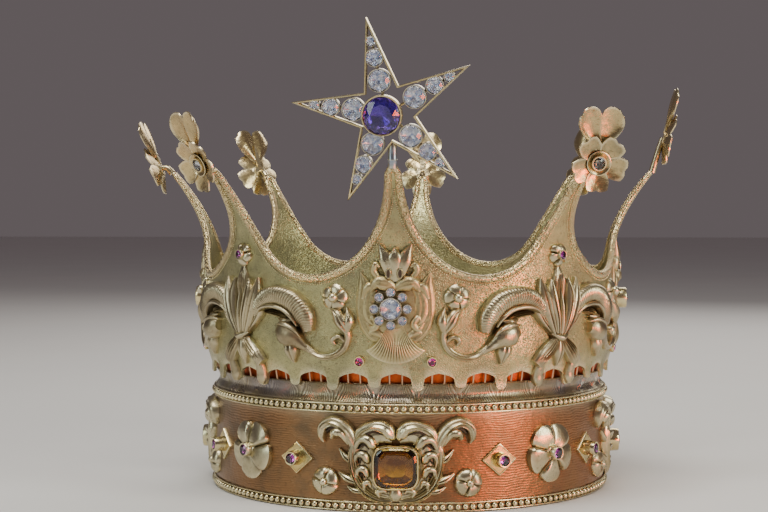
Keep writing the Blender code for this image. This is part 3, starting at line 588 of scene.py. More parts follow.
bluedSteel = goldFinish("bluedSteel", goldTones["steel"], (0.24, 0.4), 0.2)
# Painted shade: a near-black matte paint
paintedShade = dullFinish("paintedShade", (0.035, 0.024, 0.014), (0.075, 0.05, 0.028))
brightFoil = foilFinish("brightFoil", (0.97, 0.99, 1.0), (0.26, 0.34, 0.60), 0.45, 0.1)
# The amber lining carries painted shade, darker towards the top
amberFoil = foilFinish("amberFoil", (0.78, 0.54, 0.07), (0.12, 0.05, 0.012), 1.0, 0.16, (0.013, 0.023))
violetFoil = foilFinish("violetFoil", (0.66, 0.50, 0.90), (0.34, 0.22, 0.62), 0.7, 0.16)
brilliantPaste = stoneFinish("brilliantPaste", (0.92, 0.96, 1.0), 1.66, 0.7)
violetStone = stoneFinish("violetStone", (0.36, 0.20, 0.74), 1.7)
purpleStone = stoneFinish("purpleStone", (0.50, 0.06, 0.46), 1.76)
rubyStone = stoneFinish("rubyStone", (0.75, 0.03, 0.36), 1.76)
amberStone = stoneFinish("amberStone", (0.97, 0.70, 0.16), 1.56)
greyStone = stoneFinish("greyStone", (0.76, 0.78, 0.84), 1.7)
print("crown: finishes made")


# Crown body

hemTongues = {
    "slotHalf": 6.0,
    "slotTop": 54.6,
    "slotShoulder": 52.7,
    "foot": 51.2,
    "longDrop": 47.7,
    "shortDrop": 48.9,
}
sheetGrid = {"columns": 64, "rows": 22}
rim = {
    "arcShare": 0.94,
    "tipHalf": 0.55,
    "steps": 56,
    "sunk": 0.35,
    "radius": 1.7,
    "taper": 0.45,
    "flat": 0.82,
}


def hemLine(s):
    # Lower edge of the body: bracket-shaped slots between hanging tongues, long and short by turns
    pitch = halfPitch / 2
    spot = s / pitch
    u = abs(spot - round(spot)) * pitch
    drop = hemTongues["shortDrop"] if math.floor(spot) % 2 else hemTongues["longDrop"]
    slotHalf, shoulder = hemTongues["slotHalf"], hemTongues["slotShoulder"]
    if u < slotHalf:
        share = u / slotHalf
        return shoulder + (hemTongues["slotTop"] - shoulder) * (1 - share) ** 0.7 - 0.4 * share ** 6
    across = min(1.0, (pitch / 2 - u) / (pitch / 2 - slotHalf))
    return hemTongues["foot"] - (hemTongues["foot"] - drop) * (1 - across ** 2.6) ** 0.5


def rimSpot(t):
    # The middle of the rim at a share of the half arc: its valley at 0, the spire's tip at 1
    form = crownForm
    phi = math.pi / 2 * min(1.0, t / rim["arcShare"])
    run = halfPitch - form["rimWidth"]
    s = halfPitch - run * math.sin(phi)
    z = form["arcHeight"] + form["arcRise"] * (1 - math.cos(phi))
    inward = Vector((-form["arcRise"] * math.sin(phi), -run * math.cos(phi))).normalized()
    half = form["rimWidth"] / 2
    s, z = s + inward.x * half, z + inward.y * half
    if t > rim["arcShare"]:
        share = (t - rim["arcShare"]) / (1 - rim["arcShare"])
        s = s * (1 - share) + rim["tipHalf"] * share
        z = z + (form["spireTop"] - 1.2 - z) * share
    return s, z


def crownSheet():
    columns, rows = sheetGrid["columns"], sheetGrid["rows"]
    sections = []
    for k in range(crownForm["spires"] * 2 * columns):
        spire, step = divmod(k, 2 * columns)
        side = -1 if step < columns else 1
        share = step / columns if side < 0 else 2 - step / columns
        topS, topZ = rimSpot(share)
        hemS = halfPitch * (1 - share)
        floorZ = hemLine(side * hemS)
        front, back = [], []
        for r in range(rows):
            z = topZ + (floorZ - topZ) * (r / (rows - 1)) ** 1.15
            s = side * (topS + (hemS - topS) * min(1.0, (topZ - z) / (topZ - crownForm["hemHeight"])))
            angle = spire * spirePitch + s / arcRadius
            front.append(placeAt(angle, bodyRadius(z), z))
            back.append(placeAt(angle, bodyRadius(z) - crownForm["wall"], z))
        sections.append(front + back[::-1])
    return sectionPart(sections, closed=True)


def rimTubes():
    parts = []
    steps = rim["steps"]
    for valley in range(crownForm["spires"]):
        path, outward = [], []
        for k in range(-steps, steps + 1):
            t = abs(k) / steps
            s, z = rimSpot(t)
            angle = (valley + 0.5) * spirePitch + math.copysign(1, k) * (halfPitch - s) / arcRadius
            path.append(placeAt(angle, bodyRadius(z) - rim["sunk"], z))
            outward.append(placeAt(angle, 1.0, 0.0))
        tips = [max(0.0, abs(k) / steps - 0.8) / 0.2 for k in range(-steps, steps + 1)]
        radii = [rim["radius"] - rim["taper"] * tip for tip in tips]
        parts.append(tubePart(path, radii, 12, rim["flat"], outward))
    return parts


makePiece("crown_sheet", [crownSheet()], matteGold, ["crown_body"])
makePiece("spire_rims", rimTubes(), rimGold)
print("crown: body and rims made")


# Rows of beads, by geometry nodes

beadRow = {
    "count": 176,
    "rowRadius": 85.0,
    "beadRadius": 1.24,
    "wireRadius": 0.42,
    "wireGap": 1.6,
    "inset": 2.2,
}
milgrain = {"spacing": 0.95, "beadRadius": 0.36, "below": 2.2, "share": 0.86, "steps": 40}


def nodeTree(name, inputs):
    # An empty geometry tree with named inputs
    tree = bpy.data.node_groups.new(name, "GeometryNodeTree")
    tree.interface.new_socket(name="Geometry", in_out="INPUT", socket_type="NodeSocketGeometry")
    tree.interface.new_socket(name="Geometry", in_out="OUTPUT", socket_type="NodeSocketGeometry")
    keys = {}
    for label, (kind, value) in inputs.items():
        socket = tree.interface.new_socket(name=label, in_out="INPUT", socket_type=kind)
        socket.default_value = value
        keys[label] = socket.identifier
    return tree, keys


def addNode(tree, kind, settings=None, sockets=None):
    # Makes a node and gives its first output
    made = tree.nodes.new(kind)
    for key, value in (settings or {}).items():
        setattr(made, key, value)
    for key, value in (sockets or {}).items():
        if isinstance(value, bpy.types.NodeSocket):
            tree.links.new(value, made.inputs[key])
        else:
            made.inputs[key].default_value = value
    return made.outputs[0] if made.outputs else None


def beadTree(name, finish, subdivisions, wired):
    # Beads set along the mesh line that is fed in, some with a thin wire on each side
    labels = ("Bead radius", "Spacing", "Wire radius", "Wire rise")
    tree, keys = nodeTree(name, {label: ("NodeSocketFloat", 0.001) for label in labels})
    given = tree.nodes.new("NodeGroupInput").outputs
    curve = addNode(tree, "GeometryNodeMeshToCurve", None, {0: given["Geometry"]})
    sockets = {"Curve": curve, "Length": given["Spacing"]}
    spread = addNode(tree, "GeometryNodeResampleCurve", {"mode": "LENGTH"}, sockets)
    sockets = {"Radius": given["Bead radius"], "Subdivisions": subdivisions}
    bead = addNode(tree, "GeometryNodeMeshIcoSphere", None, sockets)
    beads = addNode(tree, "GeometryNodeInstanceOnPoints", None, {"Points": spread, "Instance": bead})
    joined = tree.nodes.new("GeometryNodeJoinGeometry")
    tree.links.new(beads, joined.inputs[0])
    if wired:
        sockets = {"Resolution": 6, "Radius": given["Wire radius"]}
        circle = addNode(tree, "GeometryNodeCurvePrimitiveCircle", {"mode": "RADIUS"}, sockets)
        for sign in (1.0, -1.0):
            sockets = {0: given["Wire rise"], 1: sign}
            rise = addNode(tree, "ShaderNodeMath", {"operation": "MULTIPLY"}, sockets)
            offset = addNode(tree, "ShaderNodeCombineXYZ", None, {"Z": rise})
            moved = addNode(tree, "GeometryNodeSetPosition", None, {"Geometry": curve, "Offset": offset})
            wire = addNode(tree, "GeometryNodeCurveToMesh", None, {"Curve": moved, "Profile Curve": circle})
            tree.links.new(wire, joined.inputs[0])
    real = addNode(tree, "GeometryNodeRealizeInstances", None, {0: joined.outputs[0]})
    smooth = addNode(tree, "GeometryNodeSetShadeSmooth", None, {0: real})
    painted = addNode(tree, "GeometryNodeSetMaterial", None, {"Geometry": smooth, "Material": finish})
    addNode(tree, "NodeGroupOutput", None, {0: painted})
    return tree, keys


def runTree(name, tree, values, points, edges, finish, nodes=()):
    # Runs a geometry tree over a line of points, and keeps the result as a plain mesh
    line = bpy.data.meshes.new(name + "_line")
    line.from_pydata([tuple(Vector(p) * 0.001) for p in points], edges, [])
    carrier = bpy.data.objects.new(name + "_line", line)
    bpy.context.scene.collection.objects.link(carrier)
    modifier = carrier.modifiers.new("nodes", "NODES")
    modifier.node_group = tree
    for key, value in values.items():
        modifier[key] = value
    graph = bpy.context.evaluated_depsgraph_get()
    mesh = bpy.data.meshes.new_from_object(carrier.evaluated_get(graph))
    carrier.modifiers.remove(modifier)
    bpy.data.objects.remove(carrier)
    return dress(name, mesh, finish, nodes)


def beadRows():
    tree, keys = beadTree("beadsBetweenWires", beadGold, 2, True)
    count, radius = beadRow["count"] * 2, beadRow["rowRadius"]
    values = {
        keys["Bead radius"]: beadRow["beadRadius"] * 0.001,
        keys["Spacing"]: math.tau * radius / beadRow["count"] * 0.001,
        keys["Wire radius"]: beadRow["wireRadius"] * 0.001,
        keys["Wire rise"]: beadRow["wireGap"] * 0.001,
    }
    edges = [(k, (k + 1) % count) for k in range(count)]
    for word, z in (("lower", beadRow["inset"]), ("upper", crownForm["bandHeight"] - beadRow["inset"])):
        points = [placeAt(math.tau * k / count, radius, z) for k in range(count)]
        runTree(f"bead_row_{word}", tree, values, points, edges, beadGold, [f"bead_wire_{word}"])


def milgrainLine():
    # A fine beaded line a little below the rim of every arch
    tree, keys = beadTree("milgrain", beadGold, 1, False)
    points, edges = [], []
    steps = milgrain["steps"]
    for valley in range(crownForm["spires"]):
        start = len(points)
        for k in range(-steps, steps + 1):
            t = abs(k) / steps * milgrain["share"]
            s, z = rimSpot(t)
            ahead = rimSpot(t + 0.01)
            run = Vector((ahead[0] - s, ahead[1] - z)).normalized()
            s, z = s - run.y * milgrain["below"], z + run.x * milgrain["below"]
            angle = (valley + 0.5) * spirePitch + math.copysign(1, k) * (halfPitch - s) / arcRadius
            points.append(placeAt(angle, bodyRadius(z) + 0.1, z))
        edges += [(start + k, start + k + 1) for k in range(2 * steps)]
    values = {
        keys["Bead radius"]: milgrain["beadRadius"] * 0.001,
        keys["Spacing"]: milgrain["spacing"] * 0.001,
    }
    runTree("milgrain_line", tree, values, points, edges, beadGold)


beadRows()
milgrainLine()
print("crown: bead rows made")


# Circlet and collar

collar = {
    "top": 49.9,
    "waist": 1.7,
    "posts": (-2.6, 2.4, 8.7),
    "postRadius": 0.42,
    "postLine": ((83.6, 49.6), (84.2, 52.2), (85.0, 56.0)),
}
bud = {"radius": 5.7, "crest": 3.1, "height": 11.6, "degrees": 19.2, "ball": 1.5}


def circletBand():
    outer, height = crownForm["bandRadius"], crownForm["bandHeight"]
    inner = outer - crownForm["bandWall"]
    profile = [(inner, 0.3), (inner + 0.3, 0.0), (outer - 0.2, 0.0)]
    profile += [(outer, z) for z in (0.3, 5.0, 12.0, 20.0, 28.0, 36.0, height - 0.3)]
    profile += [(outer - 0.3, height), (inner + 0.3, height), (inner, height - 0.3)]
    return ringPart(profile)


def collarPart():
    # A waisted ring whose top edge shows through the hem's slots
    foot, top = crownForm["bandHeight"] + 0.2, collar["top"]
    profile = []
    for k in range(13):
        q = k / 12
        waist = collar["waist"] * math.sin(math.pi * q ** 0.9)
        profile.append((crownForm["bandRadius"] - 0.3 * q - waist, foot + (top - foot) * q))
    radius, z = profile[-1]
    profile += [(radius + 0.2, z + 0.15), (radius - 0.2, z + 0.45), (radius - 0.9, z + 0.3)]
    profile += [(r - 1.0, h) for r, h in profile[12::-1]]
    return ringPart(profile)


def liningPart():
    # The lining that is seen through the slots, painted red-orange as reflected light
    top = collar["top"]
    profile = [(82.2 + 1.2 * k / 10, top - 1.0 + (58.5 - top) * k / 10) for k in range(11)]
    return ringPart(profile + [(82.4, 57.5), (81.5, top - 1.0)])


def postParts():
    # Small posts that carry the body on the collar
    parts = []
    slots = crownForm["spires"] * 4
    for k in range(slots):
        for shift in collar["posts"]:
            angle = math.tau * k / slots + shift / beadRow["rowRadius"]
            path = [placeAt(angle, radius, z) for radius, z in collar["postLine"]]
            parts.append(tubePart(path, collar["postRadius"], 6))
    return parts


def budPart(plane):
    flower = flowerPart(plane, 4, bud["radius"], bud["crest"], 0.93, 0.2, 0.22, turn=0.3)
    return [flower, ballPart(plane, atCentre, bud["ball"], bud["crest"] - 1.7, 10)]


budParts = []
for quarter in range(4):
    for side in (-1, 1):
        panel = onBand(quarter * quarterTurn + side * math.radians(bud["degrees"]))
        budParts += budPart(flatAt(panel, 0.0, bud["height"]))
makePiece("circlet_band", [circletBand()], bandGold, ["circlet"])
makePiece("circlet_buds", budParts, reliefGold)
makePiece("collar_ring", [collarPart()], collarGilt, ["engraved_collar"])
# Lining and posts in painted red-orange reflected light
makePiece("collar_lining", [liningPart()], reflectedRedLining)
makePiece("collar_posts", postParts(), reflectedRedLining)
print("crown: circlet and collar made")


# Ornament of the jewelled panels

cartouche = {
    "middle": 79.8,
    "flutes": 19,
    "fanApex": 76.8,
    "fanNeck": 4.6,
    "fanLength": 18.2,
    "fanDegrees": 41,
}
tulipEye = {
    "out": 2.2,
    "shift": -0.3,
    "height": 93.4,
    "halfAcross": 0.85,
    "halfUp": 1.75,
    "wire": 0.36,
    "rise": 2.9,
}
cluster = {"shift": -1.6, "stone": 4.0, "small": 1.6, "ring": 6.4, "proud": 4.0}
sideGem = {"stone": 3.4, "wall": 1.0, "proud": 5.7}
ruby = {"across": 14.1, "height": 59.4, "stone": 1.7, "proud": 1.5}
rosette = {"radius": 5.2, "crest": 2.3, "height": 84.0, "degrees": 15.5, "ball": 1.95}


def fanPart(panel):
    # The fluted shell below the gem
    spread = math.radians(cartouche["fanDegrees"])
    flutes, neck = cartouche["flutes"], cartouche["fanNeck"]
    columns = flutes * 6
    sections = []
    for k in range(columns + 1):
        q = 2 * k / columns - 1
        a = math.pi + spread * q
        wave = abs(math.sin(math.pi * flutes * k / columns)) ** 0.7
        length = cartouche["fanLength"] * (1 - 0.05 * q * q)
        section = []
        for r in range(13):
            f = r / 12
            reach = neck + (length - neck) * f
            dome = 0.9 + 1.5 * math.sin(math.pi * f ** 1.3)
            depth = 0.22 * (1 - f ** 8)
            rise = dome * (1 - depth + depth * wave) * (1 - 0.35 * q * q) + 0.3
            turned = a - 0.10 * q * (1 - f) * f * 4
            s, z = reach * math.sin(turned), cartouche["fanApex"] + reach * math.cos(turned)
            section.append(panel(s, z, rise))
        section.append(panel(length * math.sin(a), cartouche["fanApex"] + length * math.cos(a), -0.5))
        section.append(panel(neck * math.sin(a), cartouche["fanApex"] + neck * math.cos(a), -0.5))
        sections.append(section)
    return sectionPart(sections)


cartoucheLeaves = [
    # Outer strap of the ring, which runs up into an ear
    (bothHands, [(4.5, 66.9, 1, 1), (9.4, 69.8, 1.9, 1.3), (12.6, 75.6, 2.1, 1.4), (12.6, 82.5, 2.7, 1.5),
        (12, 88.3, 2.7, 1.6), (13.6, 93.8, 0.3, 0.8)], 34, 14, {"vein": 0.12, "flutes": 4}),
    (bothHands, [(12.6, 83.6, 0.9, 1.6), (11, 87.6, 2, 2.4), (8.6, 88.4, 1.4, 2.2), (7.6, 86.2, 0.4, 1)],
        18, 10, {}),
    # Inner leaves with their curls
    (bothHands, [(6.6, 88, 0.7, 1.4), (9.6, 84.8, 2.5, 1.8), (10.2, 79.8, 2.9, 1.7), (9.2, 75.6, 2.3, 1.7),
        (7.2, 73.2, 0.8, 1.6)], 30, 12, {"vein": 0.15, "edge": 0.4}),
    (bothHands, [(10.8, 74.6, 0.7, 1.5), (8.8, 72, 1.5, 2.1), (7, 73.8, 1.6, 2.5), (8.6, 76.4, 1.4, 2.2),
        (9.9, 75, 0.6, 1.5)], 24, 10, {}),
    (bothHands, [(4, 68.2, 0.9, 1.3), (6.9, 70.4, 1.7, 1.9), (9.6, 70.6, 1.1, 1.5), (9.2, 69, 0.5, 1)],
        18, 10, {}),
    # Leaf that rolls outwards over the top of the ring
    (bothHands, [(0.1, 87.4, 1.7, 2.2), (3.2, 89.2, 3, 3.3), (6.9, 89.6, 2.9, 3.6), (9.6, 86.6, 0.9, 1.8)],
        24, 12, {"vein": 0.08}),
    # Small round scroll beside the tulip
    (bothHands, [(4.6, 90.6, 0.8, 1.4), (6.4, 91.8, 1.3, 1.9), (8.2, 94.2, 1.5, 2.3), (7.6, 96.6, 1.6, 2.5),
        (5.8, 96, 0.8, 1.8)], 22, 10, {"edge": 0.4}),
    (once, [(-5.6, 67.2, 0.7, 1.2), (0, 65.8, 1.1, 1.6), (5.6, 67.2, 0.7, 1.2)], 16, 8, {}),
]


def cartoucheParts(panel):
    profile = [(0.0, 1.0), (6.0, 0.95), (10.5, 0.8), (12.6, 0.4), (13.0, -0.5), (0.0, -0.5)]
    field = lathePart(lambda s, z, h: panel(s, cartouche["middle"] + z, h), profile, 40)
    return [field, *leafParts(panel, cartoucheLeaves), fanPart(panel)]


def tulipParts(panel):
    # The tulip above the ring, with a rim round each dark eye
    parts = []
    for side in (-1, 1):
        petal = [(1.0, 90.6, 1.7, 1.7), (2.2, 94.4, 2.3, 2.6), (3.6, 99.2, 2.8, 2.9), (6.2, 104.8, 0.3, 1.2)]
        parts.append(leafPart(panel, petal, side, 26, 14, vein=0.05, edge=0.55))
        parts.append(eyeRim(panel, side * tulipEye["out"] + tulipEye["shift"], tulipEye["height"]))
    heart = [(-0.2, 90.4, 1.7, 1.7), (-0.2, 95.4, 2.4, 2.9)]
    heart += [(-0.2, 100.0, 2.7, 3.2), (-0.2, 103.6, 0.4, 1.6)]
    parts.append(leafPart(panel, heart, 1, 22, 14, edge=0.6))
    return parts


def eyeRim(panel, s0, z0):
    # A thin oval ring that lies on a panel
    wire = tulipEye["wire"]
    sections = []
    for k in range(16):
        a = math.tau * k / 16
        ring = []
        for j in range(6):
            b = math.tau * j / 6
            s = s0 + (tulipEye["halfAcross"] + wire * math.cos(b)) * math.sin(a)
            z = z0 + (tulipEye["halfUp"] + wire * math.cos(b)) * math.cos(a)
            ring.append(panel(s, z, tulipEye["rise"] + wire * math.sin(b)))
        sections.append(ring)
    return sectionPart(sections, closed=True)


quarterCopies("cartouche_{}_relief", cartoucheParts(onBody(0.0)), chasedGold, "cartouche_{}")
quarterCopies("tulip_{}", tulipParts(onBody(0.0)), reliefGold)

# Painted shade: dark patches where the tulip's eyes are pierced
eyes = []
for side in (-1, 1):
    eyePlane = flatAt(onBody(0.0), side * tulipEye["out"] + tulipEye["shift"], tulipEye["height"])
    dark = [(0.0, 2.0), (0.8, 2.0), (0.75, 3.2), (0.0, 3.25)]
    eyes.append(lathePart(lambda s, z, h, plane=eyePlane: plane(s, z * 2.1, h), dark, 14))
# Painted shade in the tulip's eyes
quarterCopies("tulip_eyes_{}", eyes, paintedShade)

# Gem cluster of the front panel
frontPlane = flatAt(onBody(0.0), cluster["shift"], cartouche["middle"])
metal = [colletPart(frontPlane, atCentre, cluster["stone"], 0.4, -0.5, cluster["proud"] + 0.1, steps=32)]
foils = [foilPart(frontPlane, atCentre, cluster["stone"], cluster["proud"] - 0.35, 1.3)]
stones = [stonePart(frontPlane, atCentre, cluster["stone"] * 0.99, cluster["proud"] - 0.35, 1.1, 1.15)]
for k in range(8):
    a = math.tau * k / 8
    spot = (cluster["ring"] * math.sin(a), cluster["ring"] * math.cos(a))
    metal.append(colletPart(frontPlane, spot, cluster["small"], 0.3, -0.5, cluster["proud"] - 0.8, steps=18))
    stones.append(stonePart(frontPlane, spot, cluster["small"] * 0.99, cluster["proud"] - 1.0, 0.6, 0.5))
    foils.append(foilPart(frontPlane, spot, cluster["small"], cluster["proud"] - 1.0, 0.6, 10))
makePiece("gem_cluster_setting", metal, silverWire)
makePiece("gem_cluster_foils", foils, brightFoil, sharp=0)
makePiece("gem_cluster_stones", stones, brilliantPaste, ["gem_cluster_front"], sharp=0)

for quarter in (1, 2, 3):
    node = f"gem_collet_{sides[quarter]}"
    plane = flatAt(onBody(quarter * quarterTurn), 0.0, cartouche["middle"])
    size, proud = sideGem["stone"], sideGem["proud"]
    setting = [colletPart(plane, atCentre, size, sideGem["wall"], -0.5, proud, steps=28)]
    setting.append(lathePart(plane, [(3.9, -0.4), (5.4, -0.4), (5.2, 0.7), (4.6, 1.2), (3.9, 1.1)], 28))
    makePiece(f"{node}_setting", setting, colletGold)
    cut = [stonePart(plane, atCentre, size * 0.98, proud - 0.6, 1.0, 2.4)]
    makePiece(f"{node}_stone", cut, brilliantPaste, [node], sharp=0)

rubyMetal, rubies = [], []
for quarter in range(4):
    for side in (-1, 1):
        plane = flatAt(onBody(quarter * quarterTurn), side * ruby["across"], ruby["height"])
        rubyMetal.append(colletPart(plane, atCentre, ruby["stone"], 0.4, -0.5, ruby["proud"], steps=18))
        rubies.append(stonePart(plane, atCentre, ruby["stone"] * 0.98, ruby["proud"] - 0.3, 0.7, 1.1))
makePiece("ruby_settings", rubyMetal, colletGold)
makePiece("rubies", rubies, rubyStone, sharp=0)

for quarter, side in enumerate(sides):
    for hand, word in ((-1, "a"), (1, "b")):
        panel = onBody(quarter * quarterTurn + hand * math.radians(rosette["degrees"]))
        plane = flatAt(panel, 0.0, rosette["height"])
        parts = [flowerPart(plane, 5, rosette["radius"], rosette["crest"], 0.9, 0.1, 0.2, turn=0.4 * hand)]
        parts.append(ballPart(plane, atCentre, rosette["ball"], rosette["crest"] - 1.6, 14))
        makePiece(f"rosette_{side}_{word}_relief", parts, reliefGold, [f"rosette_{side}_{word}"])
print("crown: jewelled panels made")


# Ornament of the foliate panels

spireRosette = {"radius": 4.8, "crest": 2.4, "height": 100.0, "stone": 1.7, "proud": 3.9}


sprayLeaves = [
    # Feathered heart of the lily, its knot and the small leaf under it
    (once, [(0, 70, 1, 1.6), (0, 80, 2.6, 2.2), (0, 89, 3.4, 2.6), (0, 95.6, 1, 0.9)],
        26, 16, {"flutes": 9, "fluteDepth": 0.5, "edge": 0.4}),
    (once, [(0, 66, 0.8, 2.6), (0, 73, 1.3, 4.2), (0, 80, 1.2, 4), (0, 86.4, 0.3, 2.4)], 20, 8, {}),
    (once, [(-4.6, 69, 0.6, 2.2), (0, 67.2, 1.8, 4.6), (4.6, 69, 0.6, 2.2)], 18, 10, {}),
    (once, [(0, 66.5, 1.4, 2.8), (0, 61.6, 2.6, 3.4), (0, 55.8, 0.5, 1.4)], 18, 10, {"vein": 0.3}),
    # Lily leaves, the outer ones leaning out
    (bothHands, [(0.9, 67, 0.7, 2.6), (2.9, 75, 1.7, 4.6), (4.9, 84, 2.2, 4.4), (4.5, 90.6, 0.5, 2)],
        28, 10, {"vein": 0.3, "edge": 0.45}),
    (bothHands, [(1.6, 66.6, 0.8, 2.4), (5.4, 74, 2.3, 4.2), (8.4, 83.2, 2.9, 4.4), (10, 91, 0.5, 2)],
        30, 12, {"vein": 0.3, "edge": 0.4}),
    (bothHands, [(3, 68.4, 0.7, 1.8), (8.8, 74, 1.4, 3), (12.8, 80.4, 1.6, 3), (14.2, 87, 0.3, 1.3)],
        26, 10, {"vein": 0.25}),
    # Acanthus: a finely ribbed leaf that arches over and down
    (bothHands, [(6.4, 73.5, 1.2, 2.2), (9.8, 79.4, 3, 4), (15.4, 83.3, 3.9, 5), (22, 84, 4.1, 5.4),
        (28.6, 81.4, 4.4, 5.4), (33.2, 76, 4.2, 4.9), (34.4, 70.4, 2.4, 3)],
        170, 14, {"ribs": 40, "ribDepth": 0.075, "slant": 0.02, "edge": 0.35, "twist": 0.12, "power": 0.5}),
    # Its smooth rolled underside
    (bothHands, [(8, 73.6, 0.6, 1.4), (12, 78.4, 1.2, 4), (17.6, 80, 1.3, 4.8), (23.6, 79.2, 1.3, 4.8),
        (28, 76.2, 1.2, 4.6), (30.2, 72.4, 0.7, 3)], 34, 10, {"power": 0.5}),
    (bothHands, [(13, 77, 0.4, 1), (18, 77.4, 1.5, 2.6), (23.4, 76, 1.4, 2.6), (27, 73, 0.4, 1.2)],
        20, 8, {"flutes": 4, "fluteDepth": 0.4}),
    (bothHands, [(20.6, 74.8, 0.5, 1.6), (24.2, 74.2, 1.9, 3.4), (28.4, 75, 0.4, 1.8)], 16, 10, {}),
    # Bulb with its sheath and drop
    (bothHands, [(20.2, 70.2, 2.2, 2.8), (23, 69.8, 4.4, 4.9), (27.2, 68.2, 4.6, 5.3), (30.8, 66, 2.6, 3.8),
        (35.6, 62.6, 1.1, 2.2)], 30, 16, {"edge": 0.25, "power": 0.5}),
    (bothHands, [(20, 72.6, 0.5, 2), (24, 73.2, 1.6, 4.6), (28.6, 71.6, 1.3, 4.8), (31.6, 68.4, 0.4, 3.2)],
        20, 10, {}),
    (bothHands, [(26, 66, 2.6, 3), (26.8, 62.4, 3, 3.6), (27.6, 57.8, 0.5, 1.6)], 20, 12, {"vein": 0.2}),
    # Scroll that ends in a two-lobed leaf
    (bothHands, [(33.4, 64.6, 1.5, 2.8), (38.4, 61.2, 1.3, 2.4), (43.8, 60.9, 1.3, 2.4),
        (48.8, 63.6, 1.4, 2.4), (51, 68.4, 1.4, 2.5), (50.2, 73.2, 1.8, 2.9)],
        40, 10, {"flutes": 2, "fluteDepth": 0.25}),
    (bothHands, [(51, 70.2, 1.2, 2.6), (48.8, 74.2, 2.7, 4), (46.6, 77.8, 2.1, 3.4), (43.6, 80, 0.3, 1.2)],
        24, 12, {"vein": 0.15}),
    (bothHands, [(50.8, 70.2, 1.1, 2.6), (51.6, 75, 2.3, 3.8), (50.6, 80.2, 0.4, 1.4)], 20, 12, {}),
    (bothHands, [(50.6, 66.2, 0.8, 1.8), (47.8, 68.8, 1, 2.4), (45, 67.6, 1.3, 2.6), (45.8, 65.6, 0.7, 1.6)],
        20, 10, {}),
    # Basal leaf and its long drop over the hem
    (bothHands, [(1.4, 67.4, 1.2, 2.8), (4.6, 63.8, 2.6, 3.8), (8, 60.4, 3, 3.8), (11.2, 56.8, 2.7, 3)],
        24, 18, {"flutes": 6, "fluteDepth": 0.3, "edge": 0.5}),
    (bothHands, [(9, 60, 0.6, 1.6), (9.2, 55.2, 2, 2.6), (9.1, 50.8, 2.3, 2.8), (9, 48.3, 1.2, 1.8)],
        22, 10, {"base": -0.2, "edge": 0.5}),
]


firstSpray = leafParts(onBody(spirePitch), sprayLeaves)
quarterCopies("spray_{}_relief", firstSpray, sprayGold, "spray_{}", corners)

for quarter, corner in enumerate(corners):
    angle = (quarter + 0.5) * quarterTurn
    plane = flatAt(onBody(angle), 0.0, spireRosette["height"])
    parts = [flowerPart(plane, 5, spireRosette["radius"], spireRosette["crest"], 0.72, 0.6, 0.3)]
    lip = spireRosette["proud"] - 0.3
    parts.append(colletPart(plane, atCentre, spireRosette["stone"], 0.4, 0.0, lip, steps=18))
    makePiece(f"spire_rosette_{corner}_relief", parts, reliefGold, [f"spire_rosette_{corner}"])
    cut = [stonePart(plane, atCentre, spireRosette["stone"] * 0.98, spireRosette["proud"] - 0.6, 0.6, 1.2)]
    makePiece(f"spire_rosette_{corner}_stone", cut, purpleStone, sharp=0)
print("crown: foliate panels made")


# Ornament of the circlet

bandCartouche = {
    "middle": 18.0,
    "citrine": 17.0,
    "citrineProud": 4.0,
    "wall": 0.95,
    "sideStone": 7.2,
    "sideProud": 6.6,
}
lozenge = {
    "half": 6.6,
    "widen": 1.16,
    "thick": 1.1,
    "height": 20.0,
    "degrees": 28.0,
    "stone": 2.2,
    "proud": 5.5,
}
bandFlower = {"radius": 12.0, "crest": 3.1, "height": 21.0, "stone": 2.25, "proud": 5.5}


def squaredOutline(halfS, halfZ, power, count):
    outline = []
    for k in range(count):
        a = math.tau * k / count
        s, z = math.sin(a), math.cos(a)
        reach = 1 / (abs(s) ** power + abs(z) ** power) ** (1 / power)
        outline.append((halfS * reach * s, halfZ * reach * z))
    return outline


